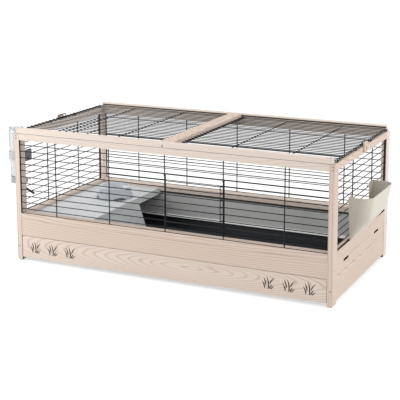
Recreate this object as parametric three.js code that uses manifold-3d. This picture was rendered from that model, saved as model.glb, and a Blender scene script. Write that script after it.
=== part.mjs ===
// A wooden floor cage for a rabbit or guinea pigs, in millimetres with +Z up.
// Four posts carry a boarded base, wire grids, and a wire roof in two lids that
// fold up from a centre beam. A litter tray slides out at the front as a drawer.
// The cage stands on its four feet; the origin is under the middle of the whole.

import * as THREE from 'three';
import { mergeVertices } from 'three/addons/utils/BufferGeometryUtils.js';
import Module from 'manifold-3d';

const wasm = await Module();
wasm.setup();

// Overall size of the wooden cage, without the bottle and the hay feeder
const cageLength = 1250;
const cageDepth = 645;
const cageHeight = 510;

// Clearances shared by the pieces
const seatGap = 0.3;
const runningGap = 0.5;
const slideGap = 1.5;
const overrun = 5;

// Posts and the rails between them
const postWidth = 20;
const postDepth = 40;
const footChamfer = 5;
const lathHeight = 20;
const lathDepth = 20;
const lathInset = 10;
const lathGrooveTop = 6;
const lathGrooveHeight = 5;
const lathGrooveDepth = 5;
const topRailHeight = 25;
const topRailDepth = 20;
const sideRailWidth = 20;
const railRounding = 2.5;

// Grooves that hold the wire grids
const grooveSetback = 3;
const grooveWidth = 8;
const grooveDepth = 6;

// Base: sills, boards and their joint lines
const sillTop = 186;
const sillHeight = 24;
const sillDepth = 40;
const sideSillWidth = 24;
const sideSillHeight = 43;
const boardThickness = 15;
const boardSetback = 1.5;
const boardBottom = 15;
const boardChamfer = 3;
const drawerTop = 98;
const boardJoint = 1.2;
const sideBoardTop = 100;

// Finger slots near the top edge of the side slats
const slotLength = 52;
const slotHeight = 9;
const slotDrop = 9;
const slotSpacing = 358;

// Wire grids
const barRadius = 1.6;
const uprightRadius = 2;
const wireSides = 6;
const weldDepth = 0.4;
const barFootGap = 16;
const barHeadGap = 19;
const barRows = 11;
const uprightPitch = 225;

// Wire door over an opening in the front grid
const doorRows = 9;
const doorSideGap = 0.6;
const eyeTube = 1.1;
const eyeDrop = 5;
const openingEdgeInset = 12;
const openingEdgeRadius = 1.5;

// Roof lids and the centre beam
const beamWidth = 50;
const cleatWidth = 36;
const cleatDepth = 20;
const lidWireDrop = 11.5;
const lidWireCount = 24;
const lidSideGap = 15;
const lidEdgeInset = 4;
const lidEndInset = 0.8;
const hingeSetback = 9;
const hingeReach = 6;
const lidTail = 6;
const lidSecondHinge = 6;
const lidSecondEdge = 9;
const hingeHoleDepth = 8;
const footReturn = 13;
const footRadius = 2.2;
const footWireNumbers = [0, 8, 15, 23];
const pullWidth = 50;
const pullRise = 11.4;
const pullCorner = 5;

// Wooden turn buttons on the side rails
const buttonWidth = 40;
const buttonHeight = 35;
const buttonThickness = 6;
const buttonCorner = 9;
const buttonPivotShare = 0.34;
const buttonPivotDrop = 6;
const screwRadius = 2;
const screwHeadRadius = 3.8;
const screwHeadHeight = 1.6;
const screwDepth = 14;

// Grey plastic liners behind the boards
const linerThickness = 2;
const linerTop = 158;
const linerBottom = 62;
const linerInset = 7;
const linerLipWidth = 9;
const linerLipDrop = 7;
const linerEndGap = 1;
const linerRib = 3;

// Drawer: board, litter tray and its runners
const trayFloor = 18;
const trayRim = 54;
const trayWall = 2.5;
const trayFlange = 12;
const traySideTaper = 6;
const trayBackGap = 26;
const trayCorner = 22;
const runnerWidth = 16;
const runnerHeight = 12;

// Hutch with a flat roof, standing on the ledges of the liners
const hutchLength = 259;
const hutchWall = 2;
const hutchRise = 14;
const hutchChamfer = 17;
const hutchSlope = 31;
const hutchFloorGap = 8;
const hutchDoorShare = 0.345;
const hutchLedgeBite = 3.5;
const hutchRib = 4;

// Food bowl on the hutch roof
const bowlBaseRadius = 73;
const bowlRimRadius = 62;
const bowlHollowRadius = 44;
const bowlHeight = 46;
const bowlDepth = 36;
const bowlWall = 2.4;
const bowlRimRound = 3;
const bowlArchHeight = 11;
const bowlArchWidth = 54;
const bowlArches = 4;
const bowlArchSides = 20;
const bowlFromLeft = 192;
const bowlFromFront = 405;
const bowlSides = 32;

// Water bottle outside the left grid
const bottleRadius = 28;
const bottleBaseRadius = 24;
const bottleFromPost = 17;
const bottleGap = 2;
const bottleDrop = 10;
const bottleShoulder = 9;
const bottleRimHeight = 5;
const bottleSides = 24;
const capHeight = 26;
const capRadius = 25;
const capSkirtStep = 2;
const spoutRadius = 4.2;
const spoutBore = 2.6;
const spoutRowNumber = 2;
const spoutLift = 3.5;
const spoutKneeDrop = 1.8;
const spoutReach = 34;
const spoutSlopeShare = 0.47;
const spoutBend = 7;
const spoutSides = 12;
const holderHeight = 30;
const holderRise = 24.5;
const holderWall = 3;
const holderArm = 18;
const clipWidth = 38;
const clipHeight = 44;
const clipThickness = 4;
const clipBoss = 8;
const clipTab = 6;
const clipShift = 14;
const clipRise = 32;
const clipRowNumber = 7;
const catchWidth = 16;
const catchHeight = 21;
const catchShift = 4.5;
const catchRiseShare = 0.12;
const catchBossShare = 0.26;
const catchBossWidth = 7;
const catchRowNumber = 3;

// Hay feeder hooked on the outside of the right grid
const feederFront = 157;
const feederBack = 437;
const feederTaper = 24;
const feederRise = 20;
const feederKneeShare = 0.468;
const feederTopReach = 82;
const feederKneeReach = 66;
const feederFootReach = 5;
const feederCorner = 36;
const feederCornerShare = 0.9;
const feederWall = 2.5;
const feederFrame = 13;
const feederWindowRise = 24;
const feederRim = 3;
const hookWidth = 8;
const hookThickness = 2.6;
const hookLip = 6;
const hookRowNumber = 5;

// Levels and faces worked out from the sizes above
const postTop = cageHeight - lathHeight;
const railBottom = postTop - topRailHeight;
const sillBottom = sillTop - sillHeight;
const halfLength = cageLength / 2;
const halfDepth = cageDepth / 2;
const spanX = halfLength - postWidth;
const spanY = halfDepth - postDepth;
const uprightSetback = grooveSetback + uprightRadius + runningGap;
const barSetback = uprightSetback + uprightRadius + barRadius - weldDepth;
const uprightFoot = sillTop - grooveDepth + seatGap;
const uprightHead = railBottom + grooveDepth - seatGap;
const barEnd = grooveDepth - runningGap;
const lowestBar = sillTop + barFootGap;
const barPitch = (railBottom - barHeadGap - lowestBar) / (barRows - 1);
const lathInner = halfDepth - lathDepth;
const lidWireHeight = cageHeight - lidWireDrop;
const lidWirePitch = 2 * (lathInner - lidSideGap) / (lidWireCount - 1);
const leftBarX = -halfLength + barSetback;
const bottleX = -halfLength - bottleGap - bottleRadius;
const spoutLevel = betweenRows(spoutRowNumber) + spoutLift;
const spoutKnee = spoutLevel + spoutSlopeShare * (leftBarX - bottleX);
const bottleTop = cageHeight - bottleDrop;
const bottleFoot = spoutKnee + spoutKneeDrop + capHeight;
const clipLevel = betweenRows(clipRowNumber);
const holderTop = clipLevel + holderRise;
const feederTop = barLevel(hookRowNumber) + feederRise;
const feederKnee = sillTop + feederKneeShare * (feederTop - sillTop);
const holderRadius = bottleRadiusAt(holderTop) + seatGap + holderWall;
const bottleOut = bottleGap + bottleRadius + holderRadius;
const feederInner = grooveSetback;
const feederOut = feederTopReach - feederInner;
const originShift = (feederOut - bottleOut) / 2;

// Finishes
const materials = {
  pine: new THREE.MeshStandardMaterial({ color: 0xe6d8ce, roughness: 0.72, metalness: 0 }),
  wire: new THREE.MeshStandardMaterial({ color: 0x17181a, roughness: 0.42, metalness: 0.25 }),
  liner: new THREE.MeshStandardMaterial({ color: 0x8b8f90, roughness: 0.5, metalness: 0 }),
  tray: new THREE.MeshStandardMaterial({ color: 0x1d2023, roughness: 0.45, metalness: 0 }),
  hutch: new THREE.MeshStandardMaterial({ color: 0xb9bdbd, roughness: 0.48, metalness: 0 }),
  bowl: new THREE.MeshStandardMaterial({ color: 0x9aa3ad, roughness: 0.3, metalness: 0 }),
  clear: new THREE.MeshStandardMaterial({ color: 0xe8eef0, roughness: 0.15, metalness: 0 }),
  clip: new THREE.MeshStandardMaterial({ color: 0x7c858c, roughness: 0.45, metalness: 0 }),
  steel: new THREE.MeshStandardMaterial({ color: 0x8a8683, roughness: 0.3, metalness: 0.9 }),
  feeder: new THREE.MeshStandardMaterial({ color: 0xb3ad99, roughness: 0.5, metalness: 0 }),
};

const cage = new THREE.Group();
cage.position.x = -originShift;

function solidOf(geometry) {
  const plain = geometry.clone();
  plain.deleteAttribute('normal');
  plain.deleteAttribute('uv');
  const merged = mergeVertices(plain);
  const vertProperties = new Float32Array(merged.attributes.position.array);
  const triVerts = new Uint32Array(merged.index.array);
  return new wasm.Manifold(new wasm.Mesh({ numProp: 3, vertProperties, triVerts }));
}

function geometryOf(solid) {
  const mesh = solid.getMesh();
  const geometry = new THREE.BufferGeometry();
  geometry.setAttribute('position', new THREE.BufferAttribute(mesh.vertProperties, mesh.numProp));
  geometry.setIndex(new THREE.BufferAttribute(mesh.triVerts, 1));
  geometry.computeVertexNormals();
  return geometry;
}

function place(name, solid, material) {
  const mesh = new THREE.Mesh(geometryOf(solid), material);
  mesh.name = name;
  cage.add(mesh);
}

function joined(solids) {
  return solids.reduce((whole, next) => whole.add(next));
}

function shapeOf(points) {
  return new THREE.Shape(points.map(([a, b]) => new THREE.Vector2(a, b)));
}

// A block between two corners
function block([x0, y0, z0], [x1, y1, z1]) {
  const geometry = new THREE.BoxGeometry(x1 - x0, y1 - y0, z1 - z0);
  geometry.translate((x0 + x1) / 2, (y0 + y1) / 2, (z0 + z1) / 2);
  return solidOf(geometry);
}

function extruded(shape, length, curveSegments = 8) {
  return new THREE.ExtrudeGeometry(shape, { depth: length, bevelEnabled: false, curveSegments });
}

// A section drawn in Y and Z, run along X
function alongX(shape, x0, x1, curveSegments) {
  const geometry = extruded(shape, x1 - x0, curveSegments);
  const turn = new THREE.Matrix4().makeBasis(
    new THREE.Vector3(0, 1, 0),
    new THREE.Vector3(0, 0, 1),
    new THREE.Vector3(1, 0, 0),
  );
  geometry.applyMatrix4(turn);
  geometry.translate(x0, 0, 0);
  return solidOf(geometry);
}

// A section drawn in X and Z, run along Y
function alongY(shape, y0, y1, curveSegments) {
  const geometry = extruded(shape, y1 - y0, curveSegments);
  const turn = new THREE.Matrix4().makeBasis(
    new THREE.Vector3(1, 0, 0),
    new THREE.Vector3(0, 0, 1),
    new THREE.Vector3(0, -1, 0),
  );
  geometry.applyMatrix4(turn);
  geometry.translate(0, y1, 0);
  return solidOf(geometry);
}

// A plan drawn in X and Y, run up Z
function alongZ(shape, z0, z1, curveSegments) {
  const geometry = extruded(shape, z1 - z0, curveSegments);
  geometry.translate(0, 0, z0);
  return solidOf(geometry);
}

// A straight round bar between two points; turn sets where its flats face
function rod(from, to, radius, sides = wireSides, turn = 0) {
  const start = new THREE.Vector3(...from);
  const end = new THREE.Vector3(...to);
  const run = end.clone().sub(start);
  const geometry = new THREE.CylinderGeometry(radius, radius, run.length(), sides);
  geometry.rotateY(turn);
  const up = new THREE.Vector3(0, 1, 0);
  geometry.applyQuaternion(new THREE.Quaternion().setFromUnitVectors(up, run.normalize()));
  const middle = start.add(end).multiplyScalar(1 / 2);
  geometry.translate(middle.x, middle.y, middle.z);
  return solidOf(geometry);
}

function circle(radius, sides) {
  const shape = new THREE.Shape();
  for (let step = 0; step < sides; step += 1) {
    const angle = (2 * Math.PI * step) / sides;
    const x = radius * Math.cos(angle);
    const y = radius * Math.sin(angle);
    if (step === 0) {
      shape.moveTo(x, y);
    } else {
      shape.lineTo(x, y);
    }
  }
  return shape;
}

// A bent wire along points, its corners rounded by a radius
function bentWire(points, radius, corner, sides = wireSides, cornerSteps = 3) {
  const path = new THREE.CurvePath();
  const places = points.map((point) => new THREE.Vector3(...point));
  let start = places[0];
  for (let index = 1; index < places.length - 1; index += 1) {
    const before = places[index - 1].clone().sub(places[index]).normalize();
    const after = places[index + 1].clone().sub(places[index]).normalize();
    const enter = places[index].clone().addScaledVector(before, corner);
    const leave = places[index].clone().addScaledVector(after, corner);
    path.add(new THREE.LineCurve3(start, enter));
    path.add(new THREE.QuadraticBezierCurve3(enter, places[index], leave));
    start = leave;
  }
  path.add(new THREE.LineCurve3(start, places[places.length - 1]));
  const rings = [];
  path.curves.forEach((curve, index) => {
    const steps = curve.isLineCurve3 ? 1 : cornerSteps;
    for (let step = index === 0 ? 0 : 1; step <= steps; step += 1) {
      const at = step / steps;
      rings.push({ centre: curve.getPoint(at), along: curve.getTangent(at) });
    }
  });
  const side = new THREE.Vector3().crossVectors(
    places[1].clone().sub(places[0]),
    places[2].clone().sub(places[1]),
  ).normalize();
  const sections = rings.map(({ centre, along }) => {
    const across = new THREE.Vector3().crossVectors(side, along).normalize();
    return Array.from({ length: sides }, (_, step) => {
      const angle = (2 * Math.PI * (step + 1 / 2)) / sides;
      return centre.clone()
        .addScaledVector(across, radius * Math.cos(angle))
        .addScaledVector(side, radius * Math.sin(angle));
    });
  });
  return loft(sections);
}

// A closed skin through rings of equally many points, with flat ends
function loft(sections) {
  const count = sections[0].length;
  const positions = sections.flat().flatMap((point) => [point.x, point.y, point.z]);
  const triangles = [];
  for (let ring = 0; ring < sections.length - 1; ring += 1) {
    for (let step = 0; step < count; step += 1) {
      const next = (step + 1) % count;
      const a = ring * count + step;
      const b = ring * count + next;
      const c = a + count;
      const d = b + count;
      triangles.push(a, b, d, a, d, c);
    }
  }
  const last = (sections.length - 1) * count;
  for (let step = 1; step < count - 1; step += 1) {
    triangles.push(0, step + 1, step);
    triangles.push(last, last + step, last + step + 1);
  }
  const geometry = new THREE.BufferGeometry();
  geometry.setAttribute('position', new THREE.Float32BufferAttribute(positions, 3));
  geometry.setIndex(triangles);
  const solid = solidOf(geometry);
  if (solid.volume() > 0) {
    return solid;
  }
  geometry.setIndex(triangles.slice().reverse());
  return solidOf(geometry);
}

// A ring of round section about Z
function eye(centre, radius, tube) {
  const geometry = new THREE.TorusGeometry(radius, tube, 5, 10);
  geometry.translate(...centre);
  return solidOf(geometry);
}

// Rectangle in two coordinates with rounded corners
function roundedRectangle(a0, b0, a1, b1, radius) {
  const shape = new THREE.Shape();
  shape.moveTo(a0 + radius, b0);
  shape.lineTo(a1 - radius, b0);
  shape.absarc(a1 - radius, b0 + radius, radius, -Math.PI / 2, 0);
  shape.lineTo(a1, b1 - radius);
  shape.absarc(a1 - radius, b1 - radius, radius, 0, Math.PI / 2);
  shape.lineTo(a0 + radius, b1);
  shape.absarc(a0 + radius, b1 - radius, radius, Math.PI / 2, Math.PI);
  shape.lineTo(a0, b0 + radius);
  shape.absarc(a0 + radius, b0 + radius, radius, Math.PI, Math.PI * 3 / 2);
  return shape;
}

// Posts: grooved on the two faces that meet grids, chamfered round the foot

function footCut(sideX, sideY) {
  const outX = sideX * halfLength;
  const inX = sideX * (halfLength - postWidth);
  const outY = sideY * halfDepth;
  const inY = sideY * (halfDepth - postDepth);
  const corner = footChamfer;
  const wedgesAlongY = [outX, inX].map((x) => {
    const inward = Math.sign((outX + inX) / 2 - x);
    const wedge = shapeOf([[x - inward * overrun, -overrun], [x + inward * (corner + overrun), -overrun],
      [x - inward * overrun, corner + overrun]]);
    return alongY(wedge, Math.min(outY, inY) - overrun, Math.max(outY, inY) + overrun);
  });
  const wedgesAlongX = [outY, inY].map((y) => {
    const inward = Math.sign((outY + inY) / 2 - y);
    const wedge = shapeOf([[y - inward * overrun, -overrun], [y + inward * (corner + overrun), -overrun],
      [y - inward * overrun, corner + overrun]]);
    return alongX(wedge, Math.min(outX, inX) - overrun, Math.max(outX, inX) + overrun);
  });
  return joined([...wedgesAlongY, ...wedgesAlongX]);
}

function post(sideX, sideY) {
  const grooveEnd = grooveSetback + grooveWidth;
  const outline = [
    [0, 0],
    [postWidth, 0],
    [postWidth, grooveSetback],
    [postWidth - grooveDepth, grooveSetback],
    [postWidth - grooveDepth, grooveEnd],
    [postWidth, grooveEnd],
    [postWidth, postDepth],
    [grooveEnd, postDepth],
    [grooveEnd, postDepth - grooveDepth],
    [grooveSetback, postDepth - grooveDepth],
    [grooveSetback, postDepth],
    [0, postDepth],
  ];
  const points = outline.map(([u, v]) => [sideX * (halfLength - u), sideY * (halfDepth - v)]);
  return alongZ(shapeOf(points), 0, postTop).subtract(footCut(sideX, sideY));
}

place('post_front_left', post(-1, -1), materials.pine);
place('post_front_right', post(1, -1), materials.pine);
place('post_back_left', post(-1, 1), materials.pine);
place('post_back_right', post(1, 1), materials.pine);

// Rails: a section with one groove, its long edges eased; depth runs inward from the outer face

function railSection(side, half, depth, bottom, top, groovedTop) {
  const face = (inset) => side * (half - inset);
  const ease = railRounding;
  const grooveEnd = grooveSetback + grooveWidth;
  const floor = groovedTop ? top - grooveDepth : bottom + grooveDepth;
  const edge = groovedTop ? top : bottom;
  const groove = [[face(grooveSetback), edge], [face(grooveSetback), floor],
    [face(grooveEnd), floor], [face(grooveEnd), edge]];
  const lower = [[face(0), bottom]];
  const upper = [[face(depth), top - ease], [face(depth - ease), top]];
  if (groovedTop) {
    return shapeOf([...lower, [face(depth), bottom], ...upper, ...groove.reverse(), [face(0), top]]);
  }
  return shapeOf([...lower, ...groove, [face(depth), bottom], ...upper, [face(0), top]]);
}

function railAcross(side, depth, bottom, top, groovedTop) {
  const section = railSection(side, halfDepth, depth, bottom, top, groovedTop);
  return alongX(section, -spanX + seatGap, spanX - seatGap);
}

function railDeep(side, depth, bottom, top, groovedTop) {
  const section = railSection(side, halfLength, depth, bottom, top, groovedTop);
  return alongY(section, -spanY + seatGap, spanY - seatGap);
}

const pivotHeight = railBottom + topRailHeight - buttonPivotDrop;

function screwHole(side) {
  const outer = side * (halfLength + overrun);
  const inner = side * (halfLength - screwDepth);
  return rod([outer, 0, pivotHeight], [inner, 0, pivotHeight], screwRadius + seatGap, bottleSides / 2);
}

place('top_rail_front', railAcross(-1, topRailDepth, railBottom, postTop, false), materials.pine);
place('top_rail_back', railAcross(1, topRailDepth, railBottom, postTop, false), materials.pine);
place('top_rail_left', railDeep(-1, sideRailWidth, railBottom, postTop, false).subtract(screwHole(-1)),
  materials.pine);
place('top_rail_right', railDeep(1, sideRailWidth, railBottom, postTop, false).subtract(screwHole(1)),
  materials.pine);
place('sill_front', railAcross(-1, sillDepth, sillBottom, sillTop, true), materials.pine);
place('sill_back', railAcross(1, sillDepth, sillBottom, sillTop, true), materials.pine);
const sideSillBottom = sillTop - sideSillHeight;
place('sill_left', railDeep(-1, sideSillWidth, sideSillBottom, sillTop, true), materials.pine);
place('sill_right', railDeep(1, sideSillWidth, sideSillBottom, sillTop, true), materials.pine);

// Laths over the front and back rails, grooved inside and bored there for the lids' hinge wires

const hingeX = beamWidth / 2 + hingeSetback;
const hingeZ = lidWireHeight - 2 * barRadius + weldDepth;

function lath(side) {
  const face = (inset) => side * (halfDepth - inset);
  const bottom = postTop + seatGap;
  const ease = railRounding;
  const grooveTop = cageHeight - lathGrooveTop;
  const grooveFoot = grooveTop - lathGrooveHeight;
  const section = shapeOf([[face(0), bottom], [face(lathDepth), bottom],
    [face(lathDepth), grooveFoot], [face(lathDepth - lathGrooveDepth), grooveFoot],
    [face(lathDepth - lathGrooveDepth), grooveTop], [face(lathDepth), grooveTop],
    [face(lathDepth), cageHeight - ease], [face(lathDepth - ease), cageHeight],
    [face(ease), cageHeight], [face(0), cageHeight - ease]]);
  const holes = [-hingeX, hingeX].map((x) => rod(
    [x, side * (lathInner - overrun), hingeZ],
    [x, side * (lathInner + hingeHoleDepth), hingeZ],
    barRadius + runningGap,
    bottleSides / 2,
  ));
  const end = halfLength - lathInset;
  return alongX(section, -end, end).subtract(joined(holes));
}

place('lath_front', lath(-1), materials.pine);
place('lath_back', lath(1), materials.pine);

// Centre beam between the laths, carried by a cleat at each end

function beam() {
  const half = beamWidth / 2;
  const bottom = postTop + seatGap;
  const ease = railRounding;
  const section = shapeOf([[-half, bottom], [half, bottom], [half, cageHeight - ease],
    [half - ease, cageHeight], [ease - half, cageHeight], [-half, cageHeight - ease]]);
  return alongY(section, seatGap - lathInner, lathInner - seatGap);
}

function cleat(side) {
  const outer = side * (halfDepth - topRailDepth - seatGap);
  const inner = outer - side * cleatDepth;
  const half = cleatWidth / 2;
  const ease = railRounding * 2;
  const section = shapeOf([[outer, railBottom + ease], [outer, postTop], [inner, postTop],
    [inner, railBottom + ease], [inner + side * ease, railBottom], [outer, railBottom]]);
  return alongX(section, -half, half);
}

place('centre_beam', beam(), materials.pine);
place('beam_cleat_front', cleat(-1), materials.pine);
place('beam_cleat_back', cleat(1), materials.pine);

// Base boards under the sills

function boardAcross(side, bottom, top, chamfer) {
  const outer = side * (halfDepth - boardSetback);
  const inner = outer - side * boardThickness;
  const points = chamfer
    ? [[outer, bottom], [inner, bottom], [inner, top], [outer - side * chamfer, top], [outer, top - chamfer]]
    : [[outer, bottom], [inner, bottom], [inner, top], [outer, top]];
  return alongX(shapeOf(points), -spanX + seatGap, spanX - seatGap);
}

function boardDeep(side, bottom, top, chamfer) {
  const outer = side * (halfLength - boardSetback);
  const inner = outer - side * boardThickness;
  const points = [[outer, bottom], [inner, bottom], [inner, top], [outer - side * chamfer, top],
    [outer, top - chamfer]];
  return alongY(shapeOf(points), -spanY + seatGap, spanY - seatGap);
}

// Stadium-shaped finger slots, cut through a side slat
function fingerSlots(side, height) {
  const outer = side * halfLength;
  const inner = outer - side * (boardThickness + boardSetback + overrun);
  const slots = [-slotSpacing / 2, slotSpacing / 2].map((y) => {
    const shape = roundedRectangle(y - slotLength / 2, height - slotHeight / 2,
      y + slotLength / 2, height + slotHeight / 2, slotHeight / 2 - seatGap);
    return alongX(shape, Math.min(outer, inner) - overrun, Math.max(outer, inner), 3);
  });
  return joined(slots);
}

const upperBoardBottom = drawerTop + boardJoint;
place('upper_board_front', boardAcross(-1, upperBoardBottom, sillBottom - seatGap, 0), materials.pine);
place('upper_board_back', boardAcross(1, upperBoardBottom, sillBottom - seatGap, 0), materials.pine);
place('lower_board_back', boardAcross(1, boardBottom, upperBoardBottom - seatGap, boardChamfer),
  materials.pine);

const slatTop = sideSillBottom - seatGap;
const slotLevel = slatTop - slotDrop;
for (const [name, side] of [['left', -1], ['right', 1]]) {
  const slat = boardDeep(side, sideBoardTop + seatGap, slatTop, boardChamfer / 2);
  place(`side_slat_${name}`, slat.subtract(fingerSlots(side, slotLevel)), materials.pine);
  place(`lower_board_${name}`, boardDeep(side, boardBottom, sideBoardTop, boardChamfer / 2), materials.pine);
}

// Wire grids: uprights outside, level bars welded behind them.
// In a grid's own frame X runs along the wall and -Y points out of the cage.

function barLevel(row) {
  return lowestBar + row * barPitch;
}

// The level midway between a row and the one above it
function betweenRows(row) {
  return barLevel(row) + barPitch / 2;
}

function uprightWire(x, foot = uprightFoot, head = uprightHead, radius = uprightRadius, y = uprightSetback) {
  return rod([x, y, foot], [x, y, head], radius);
}

// Level bars turn an edge towards the uprights, so that the two meet edge to edge
function levelWire(x0, x1, height, y = barSetback) {
  return rod([x0, y, height], [x1, y, height], barRadius, wireSides, Math.PI / wireSides);
}

function grid(end, uprights) {
  const bars = rowsFrom(0, barRows).map((row) => levelWire(-end, end, barLevel(row)));
  return joined([...uprights.map((x) => uprightWire(x)), ...bars]);
}

function rowsFrom(first, last) {
  return Array.from({ length: last - first }, (_, index) => first + index);
}

const gridEnd = spanX + barEnd;
const frontUprights = [-2, -1, 0, 1, 2].map((step) => step * uprightPitch);
const doorwayRight = uprightPitch - openingEdgeInset;
const doorHeadRow = doorRows - 1;
const doorwayRows = rowsFrom(1, doorHeadRow);

// The bars that cross the doorway are cut; their right ends meet a short upright of their own
function frontGrid() {
  const whole = rowsFrom(0, barRows).filter((row) => !doorwayRows.includes(row));
  const bars = whole.map((row) => levelWire(-gridEnd, gridEnd, barLevel(row)));
  const cutLeft = doorwayRows.map((row) => levelWire(-gridEnd, uprightRadius, barLevel(row)));
  const cutRight = doorwayRows.map((row) => levelWire(doorwayRight - openingEdgeRadius, gridEnd,
    barLevel(row)));
  const edgeFoot = barLevel(doorwayRows[0]) - barRadius;
  const edgeHead = barLevel(doorwayRows[doorwayRows.length - 1]) + barRadius;
  const edgeY = barSetback - barRadius - openingEdgeRadius + weldDepth;
  const edge = uprightWire(doorwayRight, edgeFoot, edgeHead, openingEdgeRadius, edgeY);
  return joined([...frontUprights.map((x) => uprightWire(x)), edge, ...bars, ...cutLeft, ...cutRight]);
}

place('front_grid', frontGrid().translate([0, -halfDepth, 0]), materials.wire);

const backGrid = grid(gridEnd, frontUprights).translate([0, -halfDepth, 0]);
place('back_grid', backGrid.rotate([0, 0, 180]), materials.wire);

const sideEnd = spanY + barEnd;
const sideUprights = [-uprightPitch / 2, uprightPitch / 2];
const sideGrid = grid(sideEnd, sideUprights).translate([0, -halfLength, 0]);
place('left_grid', sideGrid.rotate([0, 0, -90]), materials.wire);
place('right_grid', sideGrid.rotate([0, 0, 90]), materials.wire);

// Front door: a wire panel in front of the opening. Two eyes turn on the grid's middle upright,
// and two half eyes clip over the next upright from outside.

const doorSideRadius = barRadius;
const doorBarSetback = uprightSetback - uprightRadius - seatGap - barRadius;
const doorSideSetback = doorBarSetback + barRadius + doorSideRadius - weldDepth;
const doorSideOffset = uprightRadius + doorSideGap + doorSideRadius;
const doorSides = [doorSideOffset, uprightPitch + doorSideOffset];
const eyeRadius = uprightRadius + runningGap + eyeTube;

function doorEye(x, height) {
  return eye([x, uprightSetback, height], eyeRadius, eyeTube);
}

function behindUpright(x, height) {
  const far = eyeRadius + overrun;
  return block([x - far, uprightSetback, height - far], [x + far, uprightSetback + far, height + far]);
}

function frontDoor() {
  const rows = rowsFrom(0, doorRows);
  const bars = rows.map((row) => levelWire(doorSides[0] - doorSideRadius, doorSides[1] + doorSideRadius,
    barLevel(row), doorBarSetback));
  const foot = barLevel(0) - barRadius;
  const head = barLevel(doorHeadRow) + barRadius;
  const sides = doorSides.map((x) => uprightWire(x, foot, head, doorSideRadius, doorSideSetback));
  const levels = [barLevel(0) + eyeDrop, barLevel(doorHeadRow) - eyeDrop];
  const hinges = levels.map((height) => doorEye(0, height));
  const clips = levels.map((height) => doorEye(uprightPitch, height)
    .subtract(behindUpright(uprightPitch, height)));
  return joined([...bars, ...sides, ...hinges, ...clips]);
}

place('front_door', frontDoor().translate([0, -halfDepth, 0]), materials.wire);

// Roof lids: each turns on the wire beside the beam and stands on bent feet at its free edge

function lid(side) {
  const endX = halfLength - lidEndInset;
  const edgeX = halfLength - lidEdgeInset;
  const span = (lidWireCount - 1) * lidWirePitch;
  const hingeEnd = lathInner + hingeReach;
  const low = postTop + seatGap + barRadius;
  const wireY = (index) => index * lidWirePitch - span / 2;
  const wires = Array.from({ length: lidWireCount }, (_, index) => rod(
    [hingeX - lidTail, wireY(index), lidWireHeight],
    [endX, wireY(index), lidWireHeight], barRadius));
  const crossEnd = span / 2 + barRadius;
  const crossPlaces = [edgeX, edgeX - lidSecondEdge, 2 * uprightPitch, uprightPitch, hingeX + lidSecondHinge];
  const crosses = crossPlaces.map((x) => rod([x, -crossEnd, hingeZ], [x, crossEnd, hingeZ], barRadius));
  const hinge = rod([hingeX, -hingeEnd, hingeZ], [hingeX, hingeEnd, hingeZ], barRadius);
  const feet = footWireNumbers.map((index) => bentWire([
    [endX - footReturn, wireY(index), lidWireHeight],
    [endX - barRadius, wireY(index), lidWireHeight],
    [endX - barRadius, wireY(index), low],
    [endX - footReturn, wireY(index), low],
  ], barRadius, footRadius));
  const top = lidWireHeight + pullRise - barRadius;
  const pull = bentWire([
    [edgeX, -pullWidth / 2, hingeZ],
    [edgeX, -pullWidth / 2, top],
    [edgeX, pullWidth / 2, top],
    [edgeX, pullWidth / 2, hingeZ],
  ], barRadius, pullCorner);
  const right = joined([hinge, ...crosses, ...wires, ...feet, pull]);
  return side > 0 ? right : right.rotate([0, 0, 180]);
}

place('roof_lid_left', lid(-1), materials.wire);
place('roof_lid_right', lid(1), materials.wire);

// Turn buttons on the side rails, each on one screw

function turnButton(side) {
  const half = buttonWidth / 2;
  const bottom = pivotHeight - buttonHeight * buttonPivotShare;
  const shape = roundedRectangle(-half, bottom, half, bottom + buttonHeight, buttonCorner);
  const near = halfLength + seatGap;
  const plate = alongX(shape, near, near + buttonThickness, 4);
  const hole = rod([halfLength - overrun, 0, pivotHeight],
    [near + buttonThickness + overrun, 0, pivotHeight], screwRadius + seatGap, bottleSides / 2);
  const right = plate.subtract(hole);
  return side > 0 ? right : right.rotate([0, 0, 180]);
}

function buttonScrew(side) {
  const face = halfLength + seatGap + buttonThickness + seatGap;
  const shank = rod([halfLength - screwDepth + seatGap, 0, pivotHeight],
    [face + screwHeadHeight / 2, 0, pivotHeight], screwRadius, bottleSides / 2);
  const head = new THREE.LatheGeometry([
    new THREE.Vector2(0, 0),
    new THREE.Vector2(screwHeadRadius, 0),
    new THREE.Vector2(screwHeadRadius, screwHeadHeight / 2),
    new THREE.Vector2(screwHeadRadius / 2, screwHeadHeight),
    new THREE.Vector2(0, screwHeadHeight),
  ], 12);
  head.rotateZ(-Math.PI / 2);
  head.translate(face, 0, pivotHeight);
  const right = shank.add(solidOf(head));
  return side > 0 ? right : right.rotate([0, 0, 180]);
}

for (const [name, side] of [['left', -1], ['right', 1]]) {
  place(`turn_button_${name}`, turnButton(side), materials.pine);
  place(`button_screw_${name}`, buttonScrew(side), materials.steel);
}

// Liners: a bent sheet with a ledge on top, a wall, and a lip that sheds litter into the tray.
// It starts from the face it is fixed to, which lies fixedAt inside the cage's outer face.

function linerSection(side, half, fixedAt, sillInner) {
  const wallIn = sillInner + linerInset;
  const wallOut = wallIn - linerThickness;
  const face = (inset) => side * (half - inset);
  return shapeOf([
    [face(fixedAt), linerTop],
    [face(wallIn), linerTop],
    [face(wallIn), linerBottom + linerLipDrop],
    [face(wallIn + linerLipWidth), linerBottom],
    [face(wallIn + linerLipWidth - linerThickness), linerBottom - linerThickness],
    [face(wallOut), linerBottom + linerLipDrop - linerThickness],
    [face(wallOut), linerTop - linerThickness],
    [face(fixedAt + linerRib), linerTop - linerThickness],
    [face(fixedAt + linerRib), linerTop - linerThickness - linerRib],
    [face(fixedAt), linerTop - linerThickness - linerRib],
  ]);
}

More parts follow.
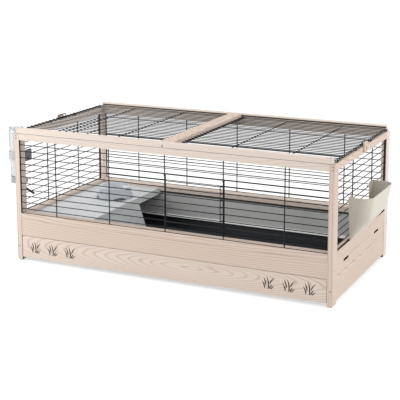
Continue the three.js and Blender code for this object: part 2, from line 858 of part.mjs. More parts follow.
const boardInset = boardSetback + boardThickness + seatGap;
const linerAcrossEnd = halfLength - sideSillWidth - linerEndGap;
const linerDeepEnd = halfDepth - sillDepth - linerInset - linerLipWidth - linerEndGap;
for (const [name, side] of [['front', -1], ['back', 1]]) {
  const section = linerSection(side, halfDepth, boardInset, sillDepth);
  place(`liner_${name}`, alongX(section, -linerAcrossEnd, linerAcrossEnd), materials.liner);
}
for (const [name, side] of [['left', -1], ['right', 1]]) {
  const section = linerSection(side, halfLength, sideSillWidth + seatGap, sideSillWidth);
  place(`liner_${name}`, alongY(section, -linerDeepEnd, linerDeepEnd), materials.liner);
}

// Drawer front, litter tray hung by its flange, and the runners under the flange

const drawerSpan = spanX - slideGap;
const drawerOuter = -halfDepth + boardSetback;
const drawerInner = drawerOuter + boardThickness;

function drawerFront() {
  const section = shapeOf([[drawerOuter, boardBottom], [drawerInner, boardBottom],
    [drawerInner, drawerTop], [drawerOuter + boardChamfer, drawerTop],
    [drawerOuter, drawerTop - boardChamfer]]);
  return alongX(section, -drawerSpan, drawerSpan);
}

const runnerOuter = halfLength - boardSetback - boardThickness - seatGap;
const runnerInner = runnerOuter - runnerWidth;
const runnerTop = trayRim - trayWall - seatGap;

function runner(side) {
  const outer = side * runnerOuter;
  const inner = side * runnerInner;
  const section = shapeOf([[outer, runnerTop - runnerHeight], [outer, runnerTop], [inner, runnerTop],
    [inner, runnerTop - runnerHeight + railRounding], [inner + side * railRounding, runnerTop - runnerHeight]]);
  return alongY(section, -spanY + seatGap, spanY - seatGap);
}

function trayPlan(inset, taper, height) {
  const x = runnerInner - slideGap - inset - taper;
  const near = drawerInner + seatGap + trayFlange + inset + taper;
  const far = halfDepth - trayBackGap - trayFlange - inset - taper;
  const radius = trayCorner - inset;
  const corners = [[x, near], [x, far], [-x, far], [-x, near]];
  const steps = 4;
  return corners.flatMap(([cornerX, cornerY], quarter) => {
    const centreX = cornerX - Math.sign(cornerX) * radius;
    const centreY = cornerY + (cornerY === near ? radius : -radius);
    return Array.from({ length: steps + 1 }, (_, step) => {
      const angle = (quarter - 1 + step / steps) * Math.PI / 2;
      return new THREE.Vector3(centreX + radius * Math.cos(angle), centreY + radius * Math.sin(angle), height);
    });
  });
}

function drawerTray() {
  const shell = loft([trayPlan(0, traySideTaper, trayFloor), trayPlan(0, 0, trayRim)]);
  const inside = loft([
    trayPlan(trayWall, traySideTaper, trayFloor + trayWall),
    trayPlan(trayWall, 0, trayRim + overrun),
  ]);
  const flangeX = runnerInner + trayFlange;
  const flange = block([-flangeX, drawerInner + seatGap, trayRim - trayWall],
    [flangeX, halfDepth - trayBackGap, trayRim]);
  return shell.add(flange).subtract(inside);
}

place('drawer_front', drawerFront(), materials.pine);
place('drawer_tray', drawerTray(), materials.tray);
place('tray_runner_left', runner(-1), materials.pine);
place('tray_runner_right', runner(1), materials.pine);

// Hutch: a moulded shell with a flat roof; its right wall leans out and is open towards the back

const ledgeY = halfDepth - sillDepth - linerInset;
const ledgeX = -halfLength + sideSillWidth + linerInset;
const hutchTop = linerTop + hutchRise;
const hutchSkirt = linerTop + seatGap;
const hutchLeft = ledgeX - hutchLedgeBite;
const hutchRight = -halfLength + sideSillWidth + hutchLength;
const hutchBack = ledgeY + hutchLedgeBite;
const hutchWallFoot = trayRim + hutchFloorGap;

function hutchProfile(inset, foot) {
  const slopeX = hutchRight + hutchChamfer;
  const wallTop = hutchTop - hutchChamfer;
  const outward = hutchSlope * (wallTop - foot) / (wallTop - hutchWallFoot);
  return shapeOf([
    [hutchLeft + inset, foot],
    [slopeX + outward - inset, foot],
    [slopeX - inset, wallTop],
    [hutchRight - inset / 2, hutchTop - inset],
    [hutchLeft + inset, hutchTop - inset],
  ]);
}

function hutch() {
  const full = alongY(hutchProfile(0, hutchWallFoot), -hutchBack, hutchBack);
  const hollow = alongY(hutchProfile(hutchWall, hutchWallFoot - overrun), hutchWall - hutchBack,
    hutchBack - hutchWall);
  const underLeft = block([hutchLeft - overrun, -hutchBack - overrun, hutchWallFoot - overrun],
    [ledgeX + seatGap, hutchBack + overrun, hutchSkirt]);
  const lipTop = linerBottom + linerLipDrop + seatGap;
  const cuts = [[ledgeY - seatGap, hutchSkirt], [ledgeY - linerLipWidth - linerEndGap, lipTop]];
  const ledges = [-1, 1].flatMap((side) => cuts.map(([inset, top]) => {
    const near = side * inset;
    const far = side * (hutchBack + overrun);
    return block([hutchLeft - overrun, Math.min(near, far), hutchWallFoot - overrun],
      [hutchRight + hutchChamfer + hutchSlope + overrun, Math.max(near, far), top]);
  }));
  const doorNear = hutchBack - 2 * hutchBack * hutchDoorShare;
  const doorFar = hutchBack - hutchWall;
  const doorway = block([hutchRight, doorNear, hutchWallFoot - overrun],
    [hutchRight + hutchChamfer + hutchSlope + overrun, doorFar, hutchTop - hutchChamfer - hutchWall]);
  const rib = block([hutchLeft + hutchWall, -hutchRib / 2, hutchTop - hutchWall - hutchRib],
    [hutchRight, hutchRib / 2, hutchTop - hutchWall / 2]);
  return full.subtract(hollow).subtract(joined([underLeft, ...ledges])).subtract(doorway).add(rib);
}

place('hutch', hutch(), materials.hutch);

// Bowl: a wide tipping-proof skirt round the dish, arched at the foot

function bowl() {
  const lip = bowlRimRadius;
  const dishEdge = lip - bowlRimRound * 2;
  const profile = [
    [0, bowlHeight - bowlDepth - bowlWall],
    [bowlHollowRadius, bowlHeight - bowlDepth - bowlWall],
    [bowlHollowRadius + bowlRimRound, bowlHeight - bowlDepth - bowlWall + bowlRimRound],
    [dishEdge - bowlWall / 2, bowlHeight - bowlRimRound - bowlWall],
    [lip - bowlRimRound / 2 - bowlWall, bowlHeight - bowlRimRound - bowlWall],
    [bowlBaseRadius - bowlWall, bowlRimRound],
    [bowlBaseRadius - bowlWall, 0],
    [bowlBaseRadius, 0],
    [bowlBaseRadius, bowlRimRound],
    [lip, bowlHeight - bowlRimRound / 2],
    [lip - bowlRimRound, bowlHeight],
    [dishEdge, bowlHeight - bowlRimRound / 2],
    [bowlHollowRadius + bowlRimRound, bowlHeight - bowlDepth + bowlRimRound],
    [bowlHollowRadius, bowlHeight - bowlDepth],
    [0, bowlHeight - bowlDepth],
  ];
  const turned = new THREE.LatheGeometry(profile.map(([r, z]) => new THREE.Vector2(r, z)), bowlSides);
  turned.rotateX(Math.PI / 2);
  const near = (bowlBaseRadius + bowlHollowRadius) / 2;
  const arch = rod([near, 0, 0], [bowlBaseRadius + overrun, 0, 0], bowlArchHeight, bowlArchSides)
    .scale([1, bowlArchWidth / 2 / bowlArchHeight, 1]);
  const fullTurn = 360;
  const arches = Array.from({ length: bowlArches }, (_, index) => (
    arch.rotate([0, 0, fullTurn * (index + 1 / 2) / bowlArches])));
  const x = bowlFromLeft - halfLength;
  const y = bowlFromFront - halfDepth;
  return solidOf(turned).subtract(joined(arches)).translate([x, y, hutchTop + seatGap]);
}

place('bowl', bowl(), materials.bowl);

// Water bottle: body, screw cap, drinking tube through the grid, and its holder

const bottleY = -halfDepth + postDepth + bottleFromPost;

function turnedSolid(profile, sides) {
  const geometry = new THREE.LatheGeometry(profile.map(([r, z]) => new THREE.Vector2(r, z)), sides);
  geometry.rotateX(Math.PI / 2);
  return solidOf(geometry);
}

function bottleRadiusAt(height) {
  const share = (height - bottleFoot) / (bottleTop - bottleShoulder - bottleFoot);
  return bottleBaseRadius + (bottleRadius - bottleBaseRadius) * share;
}

function bottleBody() {
  const top = bottleTop - bottleRimHeight;
  return turnedSolid([
    [0, bottleFoot + seatGap],
    [bottleBaseRadius, bottleFoot + seatGap],
    [bottleRadius, bottleTop - bottleShoulder - bottleRimHeight],
    [bottleRadius - bottleShoulder / 3, top],
    [bottleRadius, top + bottleRimHeight / 3],
    [bottleRadius, bottleTop],
    [bottleRadius - bottleShoulder / 3, bottleTop],
    [bottleRadius - bottleShoulder / 2, top],
    [0, top],
  ], bottleSides).translate([bottleX, bottleY, 0]);
}

const tubeEnd = [leftBarX + spoutReach, bottleY, spoutLevel - spoutSlopeShare * spoutReach];

// The drinking tube leaves the cap straight down, then bends towards the cage
function bentTube(radius, extra) {
  const knee = [bottleX, bottleY, spoutKnee];
  const start = [bottleX, bottleY, bottleFoot - capHeight / 2 + extra];
  return bentWire([start, knee, tubeEnd], radius, spoutBend, spoutSides);
}

function bottleCap() {
  const foot = bottleFoot - capHeight;
  const cap = turnedSolid([
    [0, foot],
    [capRadius - capSkirtStep * 2, foot],
    [capRadius, foot + capSkirtStep],
    [capRadius, bottleFoot - capSkirtStep],
    [capRadius - capSkirtStep / 2, bottleFoot],
    [0, bottleFoot],
  ], bottleSides).translate([bottleX, bottleY, 0]);
  return cap.subtract(bentTube(spoutRadius + seatGap, seatGap));
}

function drinkingTube() {
  const mouth = [tubeEnd[0] - spoutRadius, bottleY, tubeEnd[2] + spoutSlopeShare * spoutRadius];
  const past = [tubeEnd[0] + overrun, bottleY, tubeEnd[2] - spoutSlopeShare * overrun];
  return bentTube(spoutRadius, 0).subtract(rod(mouth, past, spoutBore, spoutSides));
}

// A C-shaped band round the bottle with an arm that reaches the grid
function bottleHolder() {
  const foot = holderTop - holderHeight;
  const bore = holderRadius - holderWall;
  const ring = circle(holderRadius, bottleSides);
  const band = alongZ(ring, foot, holderTop).subtract(
    alongZ(circle(bore, bottleSides), foot - overrun, holderTop + overrun));
  const armEnd = leftBarX - barRadius - seatGap - bottleX;
  const arm = block([bore + holderWall / 2, -holderArm / 2, foot], [armEnd, holderArm / 2, holderTop]);
  return band.add(arm).translate([bottleX, bottleY, 0]);
}

// A plate inside the grid whose boss passes between two bars to the holder
function bottleClip() {
  const top = clipLevel + clipRise;
  const low = top - clipHeight;
  const near = leftBarX + barRadius + seatGap;
  const centre = bottleY + clipShift;
  const shape = roundedRectangle(centre - clipWidth / 2, low, centre + clipWidth / 2, top, clipTab);
  const plate = alongX(shape, near, near + clipThickness, 3);
  const boss = block([leftBarX - barRadius, bottleY - clipBoss / 2, clipLevel - clipBoss / 2],
    [near + clipThickness / 2, bottleY + clipBoss / 2, clipLevel + clipBoss / 2]);
  const knob = rod([near, centre, low + clipHeight / 4],
    [near + clipThickness + clipTab / 2, centre, low + clipHeight / 4], clipTab, bottleSides / 2);
  return joined([plate, boss, knob]);
}

// A small catch inside the grid whose boss passes between two bars to the cap
function capCatch() {
  const low = betweenRows(catchRowNumber) + catchRiseShare * barPitch;
  const near = leftBarX + barRadius + seatGap;
  const centre = bottleY - catchShift;
  const plate = block([near, centre - catchWidth / 2, low],
    [near + clipThickness, centre + catchWidth / 2, low + catchHeight]);
  const boss = block([bottleX + capRadius + seatGap, bottleY - catchBossWidth / 2, low],
    [near + clipThickness / 2, bottleY + catchBossWidth / 2, low + catchBossShare * barPitch]);
  return plate.add(boss);
}

place('bottle_body', bottleBody(), materials.clear);
place('bottle_cap', bottleCap(), materials.clip);
place('bottle_tube', drinkingTube(), materials.steel);
place('bottle_holder', bottleHolder(), materials.clear);
place('bottle_clip', bottleClip(), materials.clip);
place('bottle_catch', capCatch(), materials.clip);

// Hay feeder: a hopper with rounded corners, open on top and windowed towards the grid

function feederPlan(height, wall) {
  const share = (height - sillTop) / (feederTop - sillTop);
  const narrow = feederTaper * (1 - share);
  const reach = height <= feederKnee
    ? feederFootReach + (feederKneeReach - feederFootReach) * (height - sillTop) / (feederKnee - sillTop)
    : feederKneeReach + (feederTopReach - feederKneeReach) * (height - feederKnee) / (feederTop - feederKnee);
  const inner = halfLength - feederInner;
  const outer = inner + reach - wall;
  const start = inner + wall;
  const near = feederFront + narrow + wall - halfDepth;
  const far = feederBack - narrow - wall - halfDepth;
  const radius = Math.min(feederCorner - wall, (outer - start) * feederCornerShare);
  const steps = 5;
  const arc = (y, towards) => Array.from({ length: steps + 1 }, (_, step) => {
    const angle = (step / steps) * Math.PI / 2;
    const turn = towards < 0 ? angle : Math.PI / 2 - angle;
    return new THREE.Vector3(
      outer - radius + radius * Math.sin(turn),
      y - towards * radius + towards * radius * Math.cos(turn),
      height,
    );
  });
  return [new THREE.Vector3(start, near, height), ...arc(near, -1), ...arc(far, 1),
    new THREE.Vector3(start, far, height)];
}

function feederHook(y) {
  const back = halfLength - barSetback - barRadius - seatGap;
  const level = barLevel(hookRowNumber) + barRadius + seatGap;
  const face = halfLength - feederInner;
  const arm = block([back - hookThickness, y - hookWidth / 2, level],
    [face + feederWall / 2, y + hookWidth / 2, level + hookThickness]);
  const lip = block([back - hookThickness, y - hookWidth / 2, level - hookLip],
    [back, y + hookWidth / 2, level + hookThickness / 2]);
  return arm.add(lip);
}

function hayFeeder() {
  const foot = sillTop + seatGap;
  const levels = [foot, feederKnee, feederTop];
  const shell = loft(levels.map((height) => feederPlan(height, 0)));
  const floor = foot + feederWall * 2;
  const hollow = loft([floor, feederKnee, feederTop + feederRim].map((height) => feederPlan(height, feederWall)));
  const inner = halfLength - feederInner;
  const windowNear = feederFront + feederTaper + feederFrame - halfDepth;
  const windowFar = feederBack - feederTaper - feederFrame - halfDepth;
  const opening = block([inner - overrun, windowNear, foot + feederWindowRise],
    [inner + feederWall + overrun, windowFar, feederTop + overrun]);
  const hooks = [windowNear - hookWidth, windowFar + hookWidth].map(feederHook);
  return joined([shell.subtract(hollow).subtract(opening), ...hooks]);
}

place('hay_feeder', hayFeeder(), materials.feeder);

export default cage;
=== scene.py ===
"""The looks of a wooden small animal cage: woodwork, wires, plastic fittings and a studio."""

from itertools import product
import math

import bmesh
import bpy
from mathutils import Matrix, Vector


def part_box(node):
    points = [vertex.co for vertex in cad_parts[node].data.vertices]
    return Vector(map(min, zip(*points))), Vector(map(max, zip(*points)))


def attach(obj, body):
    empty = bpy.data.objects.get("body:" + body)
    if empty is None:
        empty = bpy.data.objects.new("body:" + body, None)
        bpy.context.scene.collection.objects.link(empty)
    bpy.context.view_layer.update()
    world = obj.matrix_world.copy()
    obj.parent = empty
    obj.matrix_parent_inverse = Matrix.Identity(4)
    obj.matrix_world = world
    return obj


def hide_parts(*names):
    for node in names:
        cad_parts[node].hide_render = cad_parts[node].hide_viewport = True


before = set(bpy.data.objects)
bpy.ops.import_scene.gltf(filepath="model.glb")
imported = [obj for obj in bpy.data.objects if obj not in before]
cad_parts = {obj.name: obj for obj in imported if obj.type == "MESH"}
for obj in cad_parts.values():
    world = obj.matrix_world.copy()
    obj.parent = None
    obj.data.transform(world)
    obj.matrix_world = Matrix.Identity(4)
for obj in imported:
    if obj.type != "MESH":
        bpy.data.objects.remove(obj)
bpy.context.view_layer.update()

bl_info = {
    "name": "Small animal cage",
    "version": (1, 0, 0),
    "blender": (4, 5, 0),
    "location": "3D View > Sidebar > Cage",
    "description": "Dresses the cage's packed parts and sets up a plain studio",
    "category": "Object",
}

MM = 0.001

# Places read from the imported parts

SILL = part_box("sill_front")
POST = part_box("post_front_right")
MIDDLE_X = (SILL[0].x + SILL[1].x) / 2
HALF_LENGTH = POST[1].x - MIDDLE_X
HALF_DEPTH = -POST[0].y
SILL_TOP = SILL[1].z
RAIL_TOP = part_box("top_rail_front")[1].z
ROOF_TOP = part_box("lath_front")[1].z

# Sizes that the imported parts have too

POST_WIDTH = 20 * MM
POST_DEPTH = 40 * MM
RAIL_HEIGHT = 25 * MM
SEAT_GAP = 0.3 * MM
RUNNING_GAP = 0.5 * MM

# Words in the names of the nodes, with the side of x for the hands

FACES = ("front", "back")
HANDS = {"left": -1, "right": 1}
SIDES = (*FACES, *HANDS)


# User settings

def number_setting(name, description, default, unit="NONE"):
    return bpy.props.FloatProperty(name=name, description=description, default=default, unit=unit)


def colour_setting(name, description, default):
    return bpy.props.FloatVectorProperty(
        name=name, description=description, default=default, subtype="COLOR", size=3)


class CageSizes(bpy.types.PropertyGroup):
    """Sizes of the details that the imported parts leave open."""

    upright_radius: number_setting(
        "Upright radius", "Radius of the thick wires that stand up", 2.0 * MM, "LENGTH")
    bar_radius: number_setting(
        "Bar radius", "Radius of the level wires and the roof wires", 1.6 * MM, "LENGTH")
    weld_depth: number_setting(
        "Weld depth", "How far crossing wires sink into each other", 0.4 * MM, "LENGTH")
    wood_edge: number_setting("Wood edge", "Rounding of the woodwork's sharp edges", 0.9 * MM, "LENGTH")
    moulded_edge: number_setting(
        "Moulded edge", "Rounding of the plastic pieces' edges", 1.0 * MM, "LENGTH")
    screw_radius: number_setting(
        "Screw head radius", "Radius of the heads of the frame's screws", 3.4 * MM, "LENGTH")
    wire_sides: bpy.props.IntProperty(
        name="Wire sides", description="Facets round each wire", default=12, min=6, max=32)


class CageColours(bpy.types.PropertyGroup):
    """Colours of the finishes."""

    wood_light: colour_setting(
        "Early wood", "The pale wood between the year rings", (0.530, 0.414, 0.332))
    wood_dark: colour_setting("Late wood", "The darker lines of the year rings", (0.330, 0.222, 0.160))
    wash: colour_setting("White wash", "The thin white wash rubbed over the wood", (0.535, 0.452, 0.396))
    # Painted light: a whiter wash that stands in for the light on the brighter pieces and on faces inside
    # the cage
    painted_light_wash: colour_setting("Chalk", "The denser, whiter wash of the paler pieces", (0.630, 0.565, 0.515))
    wire: colour_setting("Wire coat", "Coat of the grids, the door and the lids", (0.004, 0.004, 0.005))
    liner: colour_setting("Liner", "Grey sheets behind the boards", (0.500, 0.510, 0.500))
    tray: colour_setting("Tray", "Litter tray", (0.016, 0.018, 0.022))
    hutch: colour_setting("Hutch", "Hutch with a flat roof", (0.560, 0.580, 0.590))
    bowl: colour_setting("Bowl", "Food bowl", (0.620, 0.650, 0.700))
    clip: colour_setting("Bottle fittings", "Cap and clip of the bottle", (0.300, 0.310, 0.320))
    feeder: colour_setting("Feeder", "Hay feeder", (0.450, 0.415, 0.345))
    burn: colour_setting("Ornament", "Dark recessed grass blades on the drawer", (0.032, 0.019, 0.014))
    # Painted shade: the dark colour in the grooves, finger slots and gaps stands in for their shadow
    groove_shade: colour_setting(
        "Grooves", "Dark wood inside the grooves that hold the grids", (0.012, 0.008, 0.006))


class StudioLook(bpy.types.PropertyGroup):
    """Camera, lights and floor."""

    camera_place: bpy.props.FloatVectorProperty(
        name="Camera", description="Where the camera stands, from the middle of the cage",
        subtype="TRANSLATION", unit="LENGTH", size=3, default=(1.7106, -3.6154, 1.2846))
    camera_turn: number_setting(
        "Turn", "How far the camera looks to the left", math.radians(24.910), "ROTATION")
    camera_drop: number_setting(
        "Drop", "How far the camera looks down", math.radians(10.842), "ROTATION")
    focal_pixels: number_setting("Focal length", "Focal length in widths of one picture point", 1091.4)
    picture_width: number_setting("Picture width", "Width of the picture in points", 400.0)
    centre_rise: number_setting(
        "Centre rise", "How far the view's centre lies above the picture's, in points", 76.0)
    centre_side: number_setting(
        "Centre side", "How far the view's centre lies right of the picture's, in points", 11.0)
    key_power: number_setting("Key light", "Power of the soft light from the left", 20.0, "POWER")
    fill_power: number_setting("Fill light", "Power of the soft light from the right", 40.0, "POWER")
    top_power: number_setting("Top light", "Power of the soft light overhead", 18.0, "POWER")
    sky: number_setting("Sky", "Strength of the even light from all round", 1.04)


# Shader maths

def maths(operation, reflected=False):
    """A method that joins a value and something else by a Math node."""

    def join(value, other):
        pair = (other, value) if reflected else (value, other)
        return value.finish.node("ShaderNodeMath", {"operation": operation}, dict(enumerate(pair)))

    return join


class Value:
    """A number, colour or vector in a finish, with the arithmetic that the finishes use."""

    __add__ = maths("ADD")
    __radd__ = maths("ADD", reflected=True)
    __sub__ = maths("SUBTRACT")
    __rsub__ = maths("SUBTRACT", reflected=True)
    __mul__ = maths("MULTIPLY")
    __rmul__ = maths("MULTIPLY", reflected=True)
    __pow__ = maths("POWER")
    __gt__ = maths("GREATER_THAN")
    or_else = maths("MAXIMUM")

    def __init__(self, finish, socket):
        self.finish = finish
        self.socket = socket

    def sine(self):
        return self.finish.node("ShaderNodeMath", {"operation": "SINE"}, {0: self})

    def size(self):
        return self.finish.node("ShaderNodeMath", {"operation": "ABSOLUTE"}, {0: self})


class Finish:
    """A node material built round one Principled shader."""

    def __init__(self, name):
        self.material = bpy.data.materials.new(name)
        self.material.use_nodes = True
        self.tree = self.material.node_tree
        self.shader = self.tree.nodes["Principled BSDF"]
        # The point on the surface, in the frame of the whole part
        self.place = self.node("ShaderNodeTexCoord", output="Object")

    def node(self, kind, settings=None, sockets=None, output=0):
        made = self.tree.nodes.new(kind)
        for name, setting in (settings or {}).items():
            setattr(made, name, setting)
        for name, given in (sockets or {}).items():
            self.feed(made.inputs[name], given)
        return Value(self, made.outputs[output])

    def feed(self, socket, given):
        if isinstance(given, Value):
            self.tree.links.new(given.socket, socket)
        else:
            socket.default_value = given

    def part(self, axis):
        """The place's x, y or z, by number."""
        return self.node("ShaderNodeSeparateXYZ", None, {0: self.place}, axis)

    def vector(self, operation, first, second, output=0):
        sockets = {0: first, 1: second}
        return self.node("ShaderNodeVectorMath", {"operation": operation}, sockets, output)

    def stretched(self, x, y, z):
        """The place with a factor for each axis."""
        return self.vector("MULTIPLY", self.place, (x, y, z))

    def noise(self, scale, detail=2.0, roughness=0.5, place=None):
        """Noise over the surface, or over another place that is given."""
        return self.node("ShaderNodeTexNoise", None, {
            "Vector": place or self.place, "Scale": scale, "Detail": detail, "Roughness": roughness})

    def mix(self, share, first, second):
        colours = {"data_type": "RGBA", "blend_type": "MIX"}
        return self.node("ShaderNodeMix", colours, {0: share, 6: first, 7: second}, output=2)

    def near(self, value, middle, reach):
        """One where a value lies within reach of a middle, and zero elsewhere."""
        return self.node("ShaderNodeMath", {"operation": "COMPARE"}, {0: value, 1: middle, 2: reach})

    def smooth(self, value, low, high):
        return self.node("ShaderNodeMapRange", {"interpolation_type": "SMOOTHSTEP"}, {
            "Value": value, "From Min": low, "From Max": high})

    def bump(self, height, strength, distance):
        normal = self.node("ShaderNodeBump", None, {
            "Height": height, "Strength": strength, "Distance": distance})
        self.feed(self.shader.inputs["Normal"], normal)

    def set(self, **sockets):
        for name, given in sockets.items():
            self.feed(self.shader.inputs[name.replace("_", " ")], given)


PLASTIC_IOR = 1.47


def solid(colour):
    return (*colour, 1.0)


def shaded(colour, factor):
    return tuple(min(1.0, part * factor) for part in colour) + (1.0,)


# Finishes

RING_WARP = 12 * MM
WAVE_HEIGHT = 6.5 * MM
WAVE_SQUEEZE = 0.35
FIBRE_SQUEEZE = 0.03
RING_SHARPNESS = 6.0
HEART_STEP = 110 * MM
LOG_SHIFT = Vector((0.37, 0.61, 0.83))
PATCH_SHARE = 0.35
KNOT_SHARE = 0.45
GROOVE_SHADE_SHARE = 0.95
# For each cut of the log: shortening along the grain, width of a year ring, depth of the heart,
# and how far the heart lies to the side, in widths of the piece
LOG_CUTS = (
    (0.070, 5.2 * MM, 44 * MM, 0.9),
    (0.060, 6.2 * MM, 40 * MM, 1.0),
    (0.120, 5.2 * MM, 18 * MM, 0.15),
    (0.090, 5.0 * MM, 36 * MM, 0.6),
)

# Grooves and gaps that get painted shade, with half their widths
GROOVE_MIDDLE = 7 * MM
GROOVE_HALF = 4.15 * MM
GROOVE_DEPTH = 6.3 * MM
POST_INNER_X = HALF_LENGTH - POST_WIDTH
POST_INNER_Y = HALF_DEPTH - POST_DEPTH
BOARD_INNER_Y = HALF_DEPTH - 16.5 * MM
LATH_GROOVE_Y = HALF_DEPTH - 17.5 * MM
LATH_GROOVE_LEVEL = ROOF_TOP - 8.5 * MM
LINER_GAP_LEVEL = SILL_TOP - 26 * MM
GAP_HALF = 2.6 * MM
SLOT_X = HALF_LENGTH - 9 * MM
SLOT_Y = 179 * MM
SLOT_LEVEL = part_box("side_slat_right")[1].z - 9 * MM
SLOT_HALVES = (7.2 * MM, 26.2 * MM, 4.6 * MM)
JOINT_REACH = 1.5 * MM
JOINT_HALF = 0.6 * MM
SKIN = 0.1 * MM
OUTER_DEPTH = 2 * MM
# Pieces whose faces inside the cage get painted light, so they are paler there than on their outer faces
PAINTED_LIGHT_INSIDE = ("top_rail_back", "top_rail_left", "sill_back", "sill_left", "post_back_left")


def painted_groove_shade(finish):
    """One where shade is painted: in the grooves of the posts, rails and laths, in the finger slots, over
    the liners and along the joints of laths and rails.
    """
    along = (finish.part(0) - MIDDLE_X).size()
    across = finish.part(1).size()
    z = finish.part(2)
    near = finish.near
    half = GROOVE_DEPTH / 2
    level = near(z, SILL_TOP - half, half).or_else(near(z, RAIL_TOP - RAIL_HEIGHT + half, half))
    long_side = level.or_else(along > POST_INNER_X - SKIN)
    long_side *= near(across, HALF_DEPTH - GROOVE_MIDDLE, GROOVE_HALF)
    long_side *= near(along, 0.0, POST_INNER_X + GROOVE_DEPTH)
    deep_side = level.or_else(across > POST_INNER_Y - SKIN)
    deep_side *= near(along, HALF_LENGTH - GROOVE_MIDDLE, GROOVE_HALF)
    deep_side *= near(across, 0.0, POST_INNER_Y + GROOVE_DEPTH)
    in_lath = near(across, LATH_GROOVE_Y, GAP_HALF) * near(z, LATH_GROOVE_LEVEL, GAP_HALF)
    over_liner = near(across, BOARD_INNER_Y, 2 * SKIN) * near(z, LINER_GAP_LEVEL, GAP_HALF)
    in_slot = near(along, SLOT_X, SLOT_HALVES[0]) * near(across, SLOT_Y, SLOT_HALVES[1])
    in_slot *= near(z, SLOT_LEVEL, SLOT_HALVES[2])
    in_joint = near(across, HALF_DEPTH, JOINT_REACH) * near(z, RAIL_TOP, JOINT_HALF)
    dark = long_side
    for mask in (deep_side, in_lath, over_liner, in_slot, in_joint):
        dark = dark.or_else(mask)
    return dark


def longest_axis(node):
    low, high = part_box(node)
    spans = list(high - low)
    return spans.index(max(spans))


def heart_of(node, axis, cut):
    """Middle of the year rings of a board, to one side of its face, squeezed along the grain."""
    squeeze, _, depth, aside = LOG_CUTS[cut]
    low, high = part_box(node)
    heart = (low + high) / 2
    span = high - low
    thin, wide = sorted((i for i in range(3) if i != axis), key=lambda i: span[i])
    heart[thin] += depth * (1 if cut % 2 else -1)
    heart[wide] += span[wide] * aside
    heart[axis] = (heart[axis] + HEART_STEP * (cut - 1)) * squeeze
    return heart


def outer_skin(finish):
    """One on the faces that look away from the cage, and zero inside it."""
    outer_end = (finish.part(0) - MIDDLE_X).size() > HALF_LENGTH - OUTER_DEPTH
    return outer_end.or_else(finish.part(1).size() > HALF_DEPTH - OUTER_DEPTH)


def pine(node, cut, colours, share, wash):
    """Whitewashed pine whose grain runs along the piece, with the year rings round a heart."""
    finish = Finish(f"pine_{node}")
    axis = longest_axis(node)
    squeeze, ring_width, _, _ = LOG_CUTS[cut]

    def squeezed(factor):
        return finish.stretched(*(factor if i == axis else 1.0 for i in range(3)))

    long_place = squeezed(squeeze)
    shifted = finish.vector("ADD", long_place, tuple(LOG_SHIFT * (cut + 1)))
    warp = finish.noise(9.0, 3.0, 0.45, shifted)
    wave = finish.noise(26.0, place=squeezed(WAVE_SQUEEZE))
    away = finish.vector("DISTANCE", long_place, tuple(heart_of(node, axis, cut)), "Value")
    bent = away + (warp - 0.5) * RING_WARP + (wave - 0.5) * WAVE_HEIGHT
    ring = (bent * (2 * math.pi / ring_width)).sine() * 0.5 + 0.5
    late = ring ** RING_SHARPNESS * (0.5 + wave)
    fibre = finish.noise(900.0, roughness=0.6, place=squeezed(FIBRE_SQUEEZE))
    patch = finish.noise(22.0, place=shifted)
    knot_place = squeezed(0.35 + 0.65 * squeeze)
    cell = finish.node("ShaderNodeTexVoronoi", None, {"Vector": knot_place, "Scale": 5.0}, "Distance")
    knot = 1.0 - finish.smooth(cell, 0.035, 0.075)
    grain = finish.smooth(late * 0.6 + fibre * 0.4, 0.12, 0.78)
    wood = finish.mix(grain, solid(colours.wood_light), solid(colours.wood_dark))
    # Painted light on the faces inside the cage
    if node in PAINTED_LIGHT_INSIDE:
        wash = finish.mix(outer_skin(finish), wash, solid(colours.wash))
    washed = finish.mix(share + PATCH_SHARE * patch, wood, wash)
    knotted = finish.mix(knot * KNOT_SHARE, washed, shaded(colours.wood_dark, 0.6))
    # Painted shade in the grooves, slots and gaps
    coloured = finish.mix(painted_groove_shade(finish) * GROOVE_SHADE_SHARE, knotted, solid(colours.groove_shade))
    finish.set(Base_Color=coloured, Roughness=0.56 + 0.22 * fibre)
    finish.bump(fibre * 0.5 + late * 0.5, 0.35, 0.6 * MM)
    return finish.material


def coated_wire(colours):
    """Black powder coat with its faint orange peel."""
    finish = Finish("black_powder_coat")
    peel = finish.noise(900.0)
    dust = finish.smooth(finish.noise(14.0, 3.0), 0.35, 0.8)
    colour = finish.mix(dust, solid(colours.wire), shaded(colours.wire, 1.9))
    finish.set(Base_Color=colour, Roughness=0.42 + 0.18 * peel, Specular_IOR_Level=0.25)
    finish.bump(peel, 0.25, 0.2 * MM)
    return finish.material


def moulded(name, colour, gloss, sparkle=1.0, scuff=0.12, clear=0.0, bands=()):
    """Moulded plastic: fine spark texture, soft colour drift, slight scuffs, and level bands painted
    darker or lighter, where painted shade and painted highlights go.
    """
    finish = Finish(name)
    drift = finish.smooth(finish.noise(5.0), 0.2, 0.8)
    spark = finish.noise(1400.0, roughness=0.6)
    rub = finish.noise(160.0, 4.0, 0.65, finish.stretched(1.0, 0.25, 1.0))
    worn = finish.smooth(rub, 0.58, 0.78)
    tinted = finish.mix(drift, shaded(colour, 0.93), shaded(colour, 1.06))
    coloured = finish.mix(worn * scuff, tinted, shaded(colour, 1.35))
    for low, high, factor in bands:
        inside = finish.near(finish.part(2), (low + high) / 2, (high - low) / 2)
        coloured = finish.mix(inside, coloured, shaded(colour, factor))
    finish.set(Base_Color=coloured, Roughness=gloss + 0.10 * spark + 0.10 * worn)
    finish.bump(spark, 0.22 * sparkle, 0.25 * MM)
    if clear:
        finish.set(Transmission_Weight=clear, IOR=PLASTIC_IOR)
    return finish.material


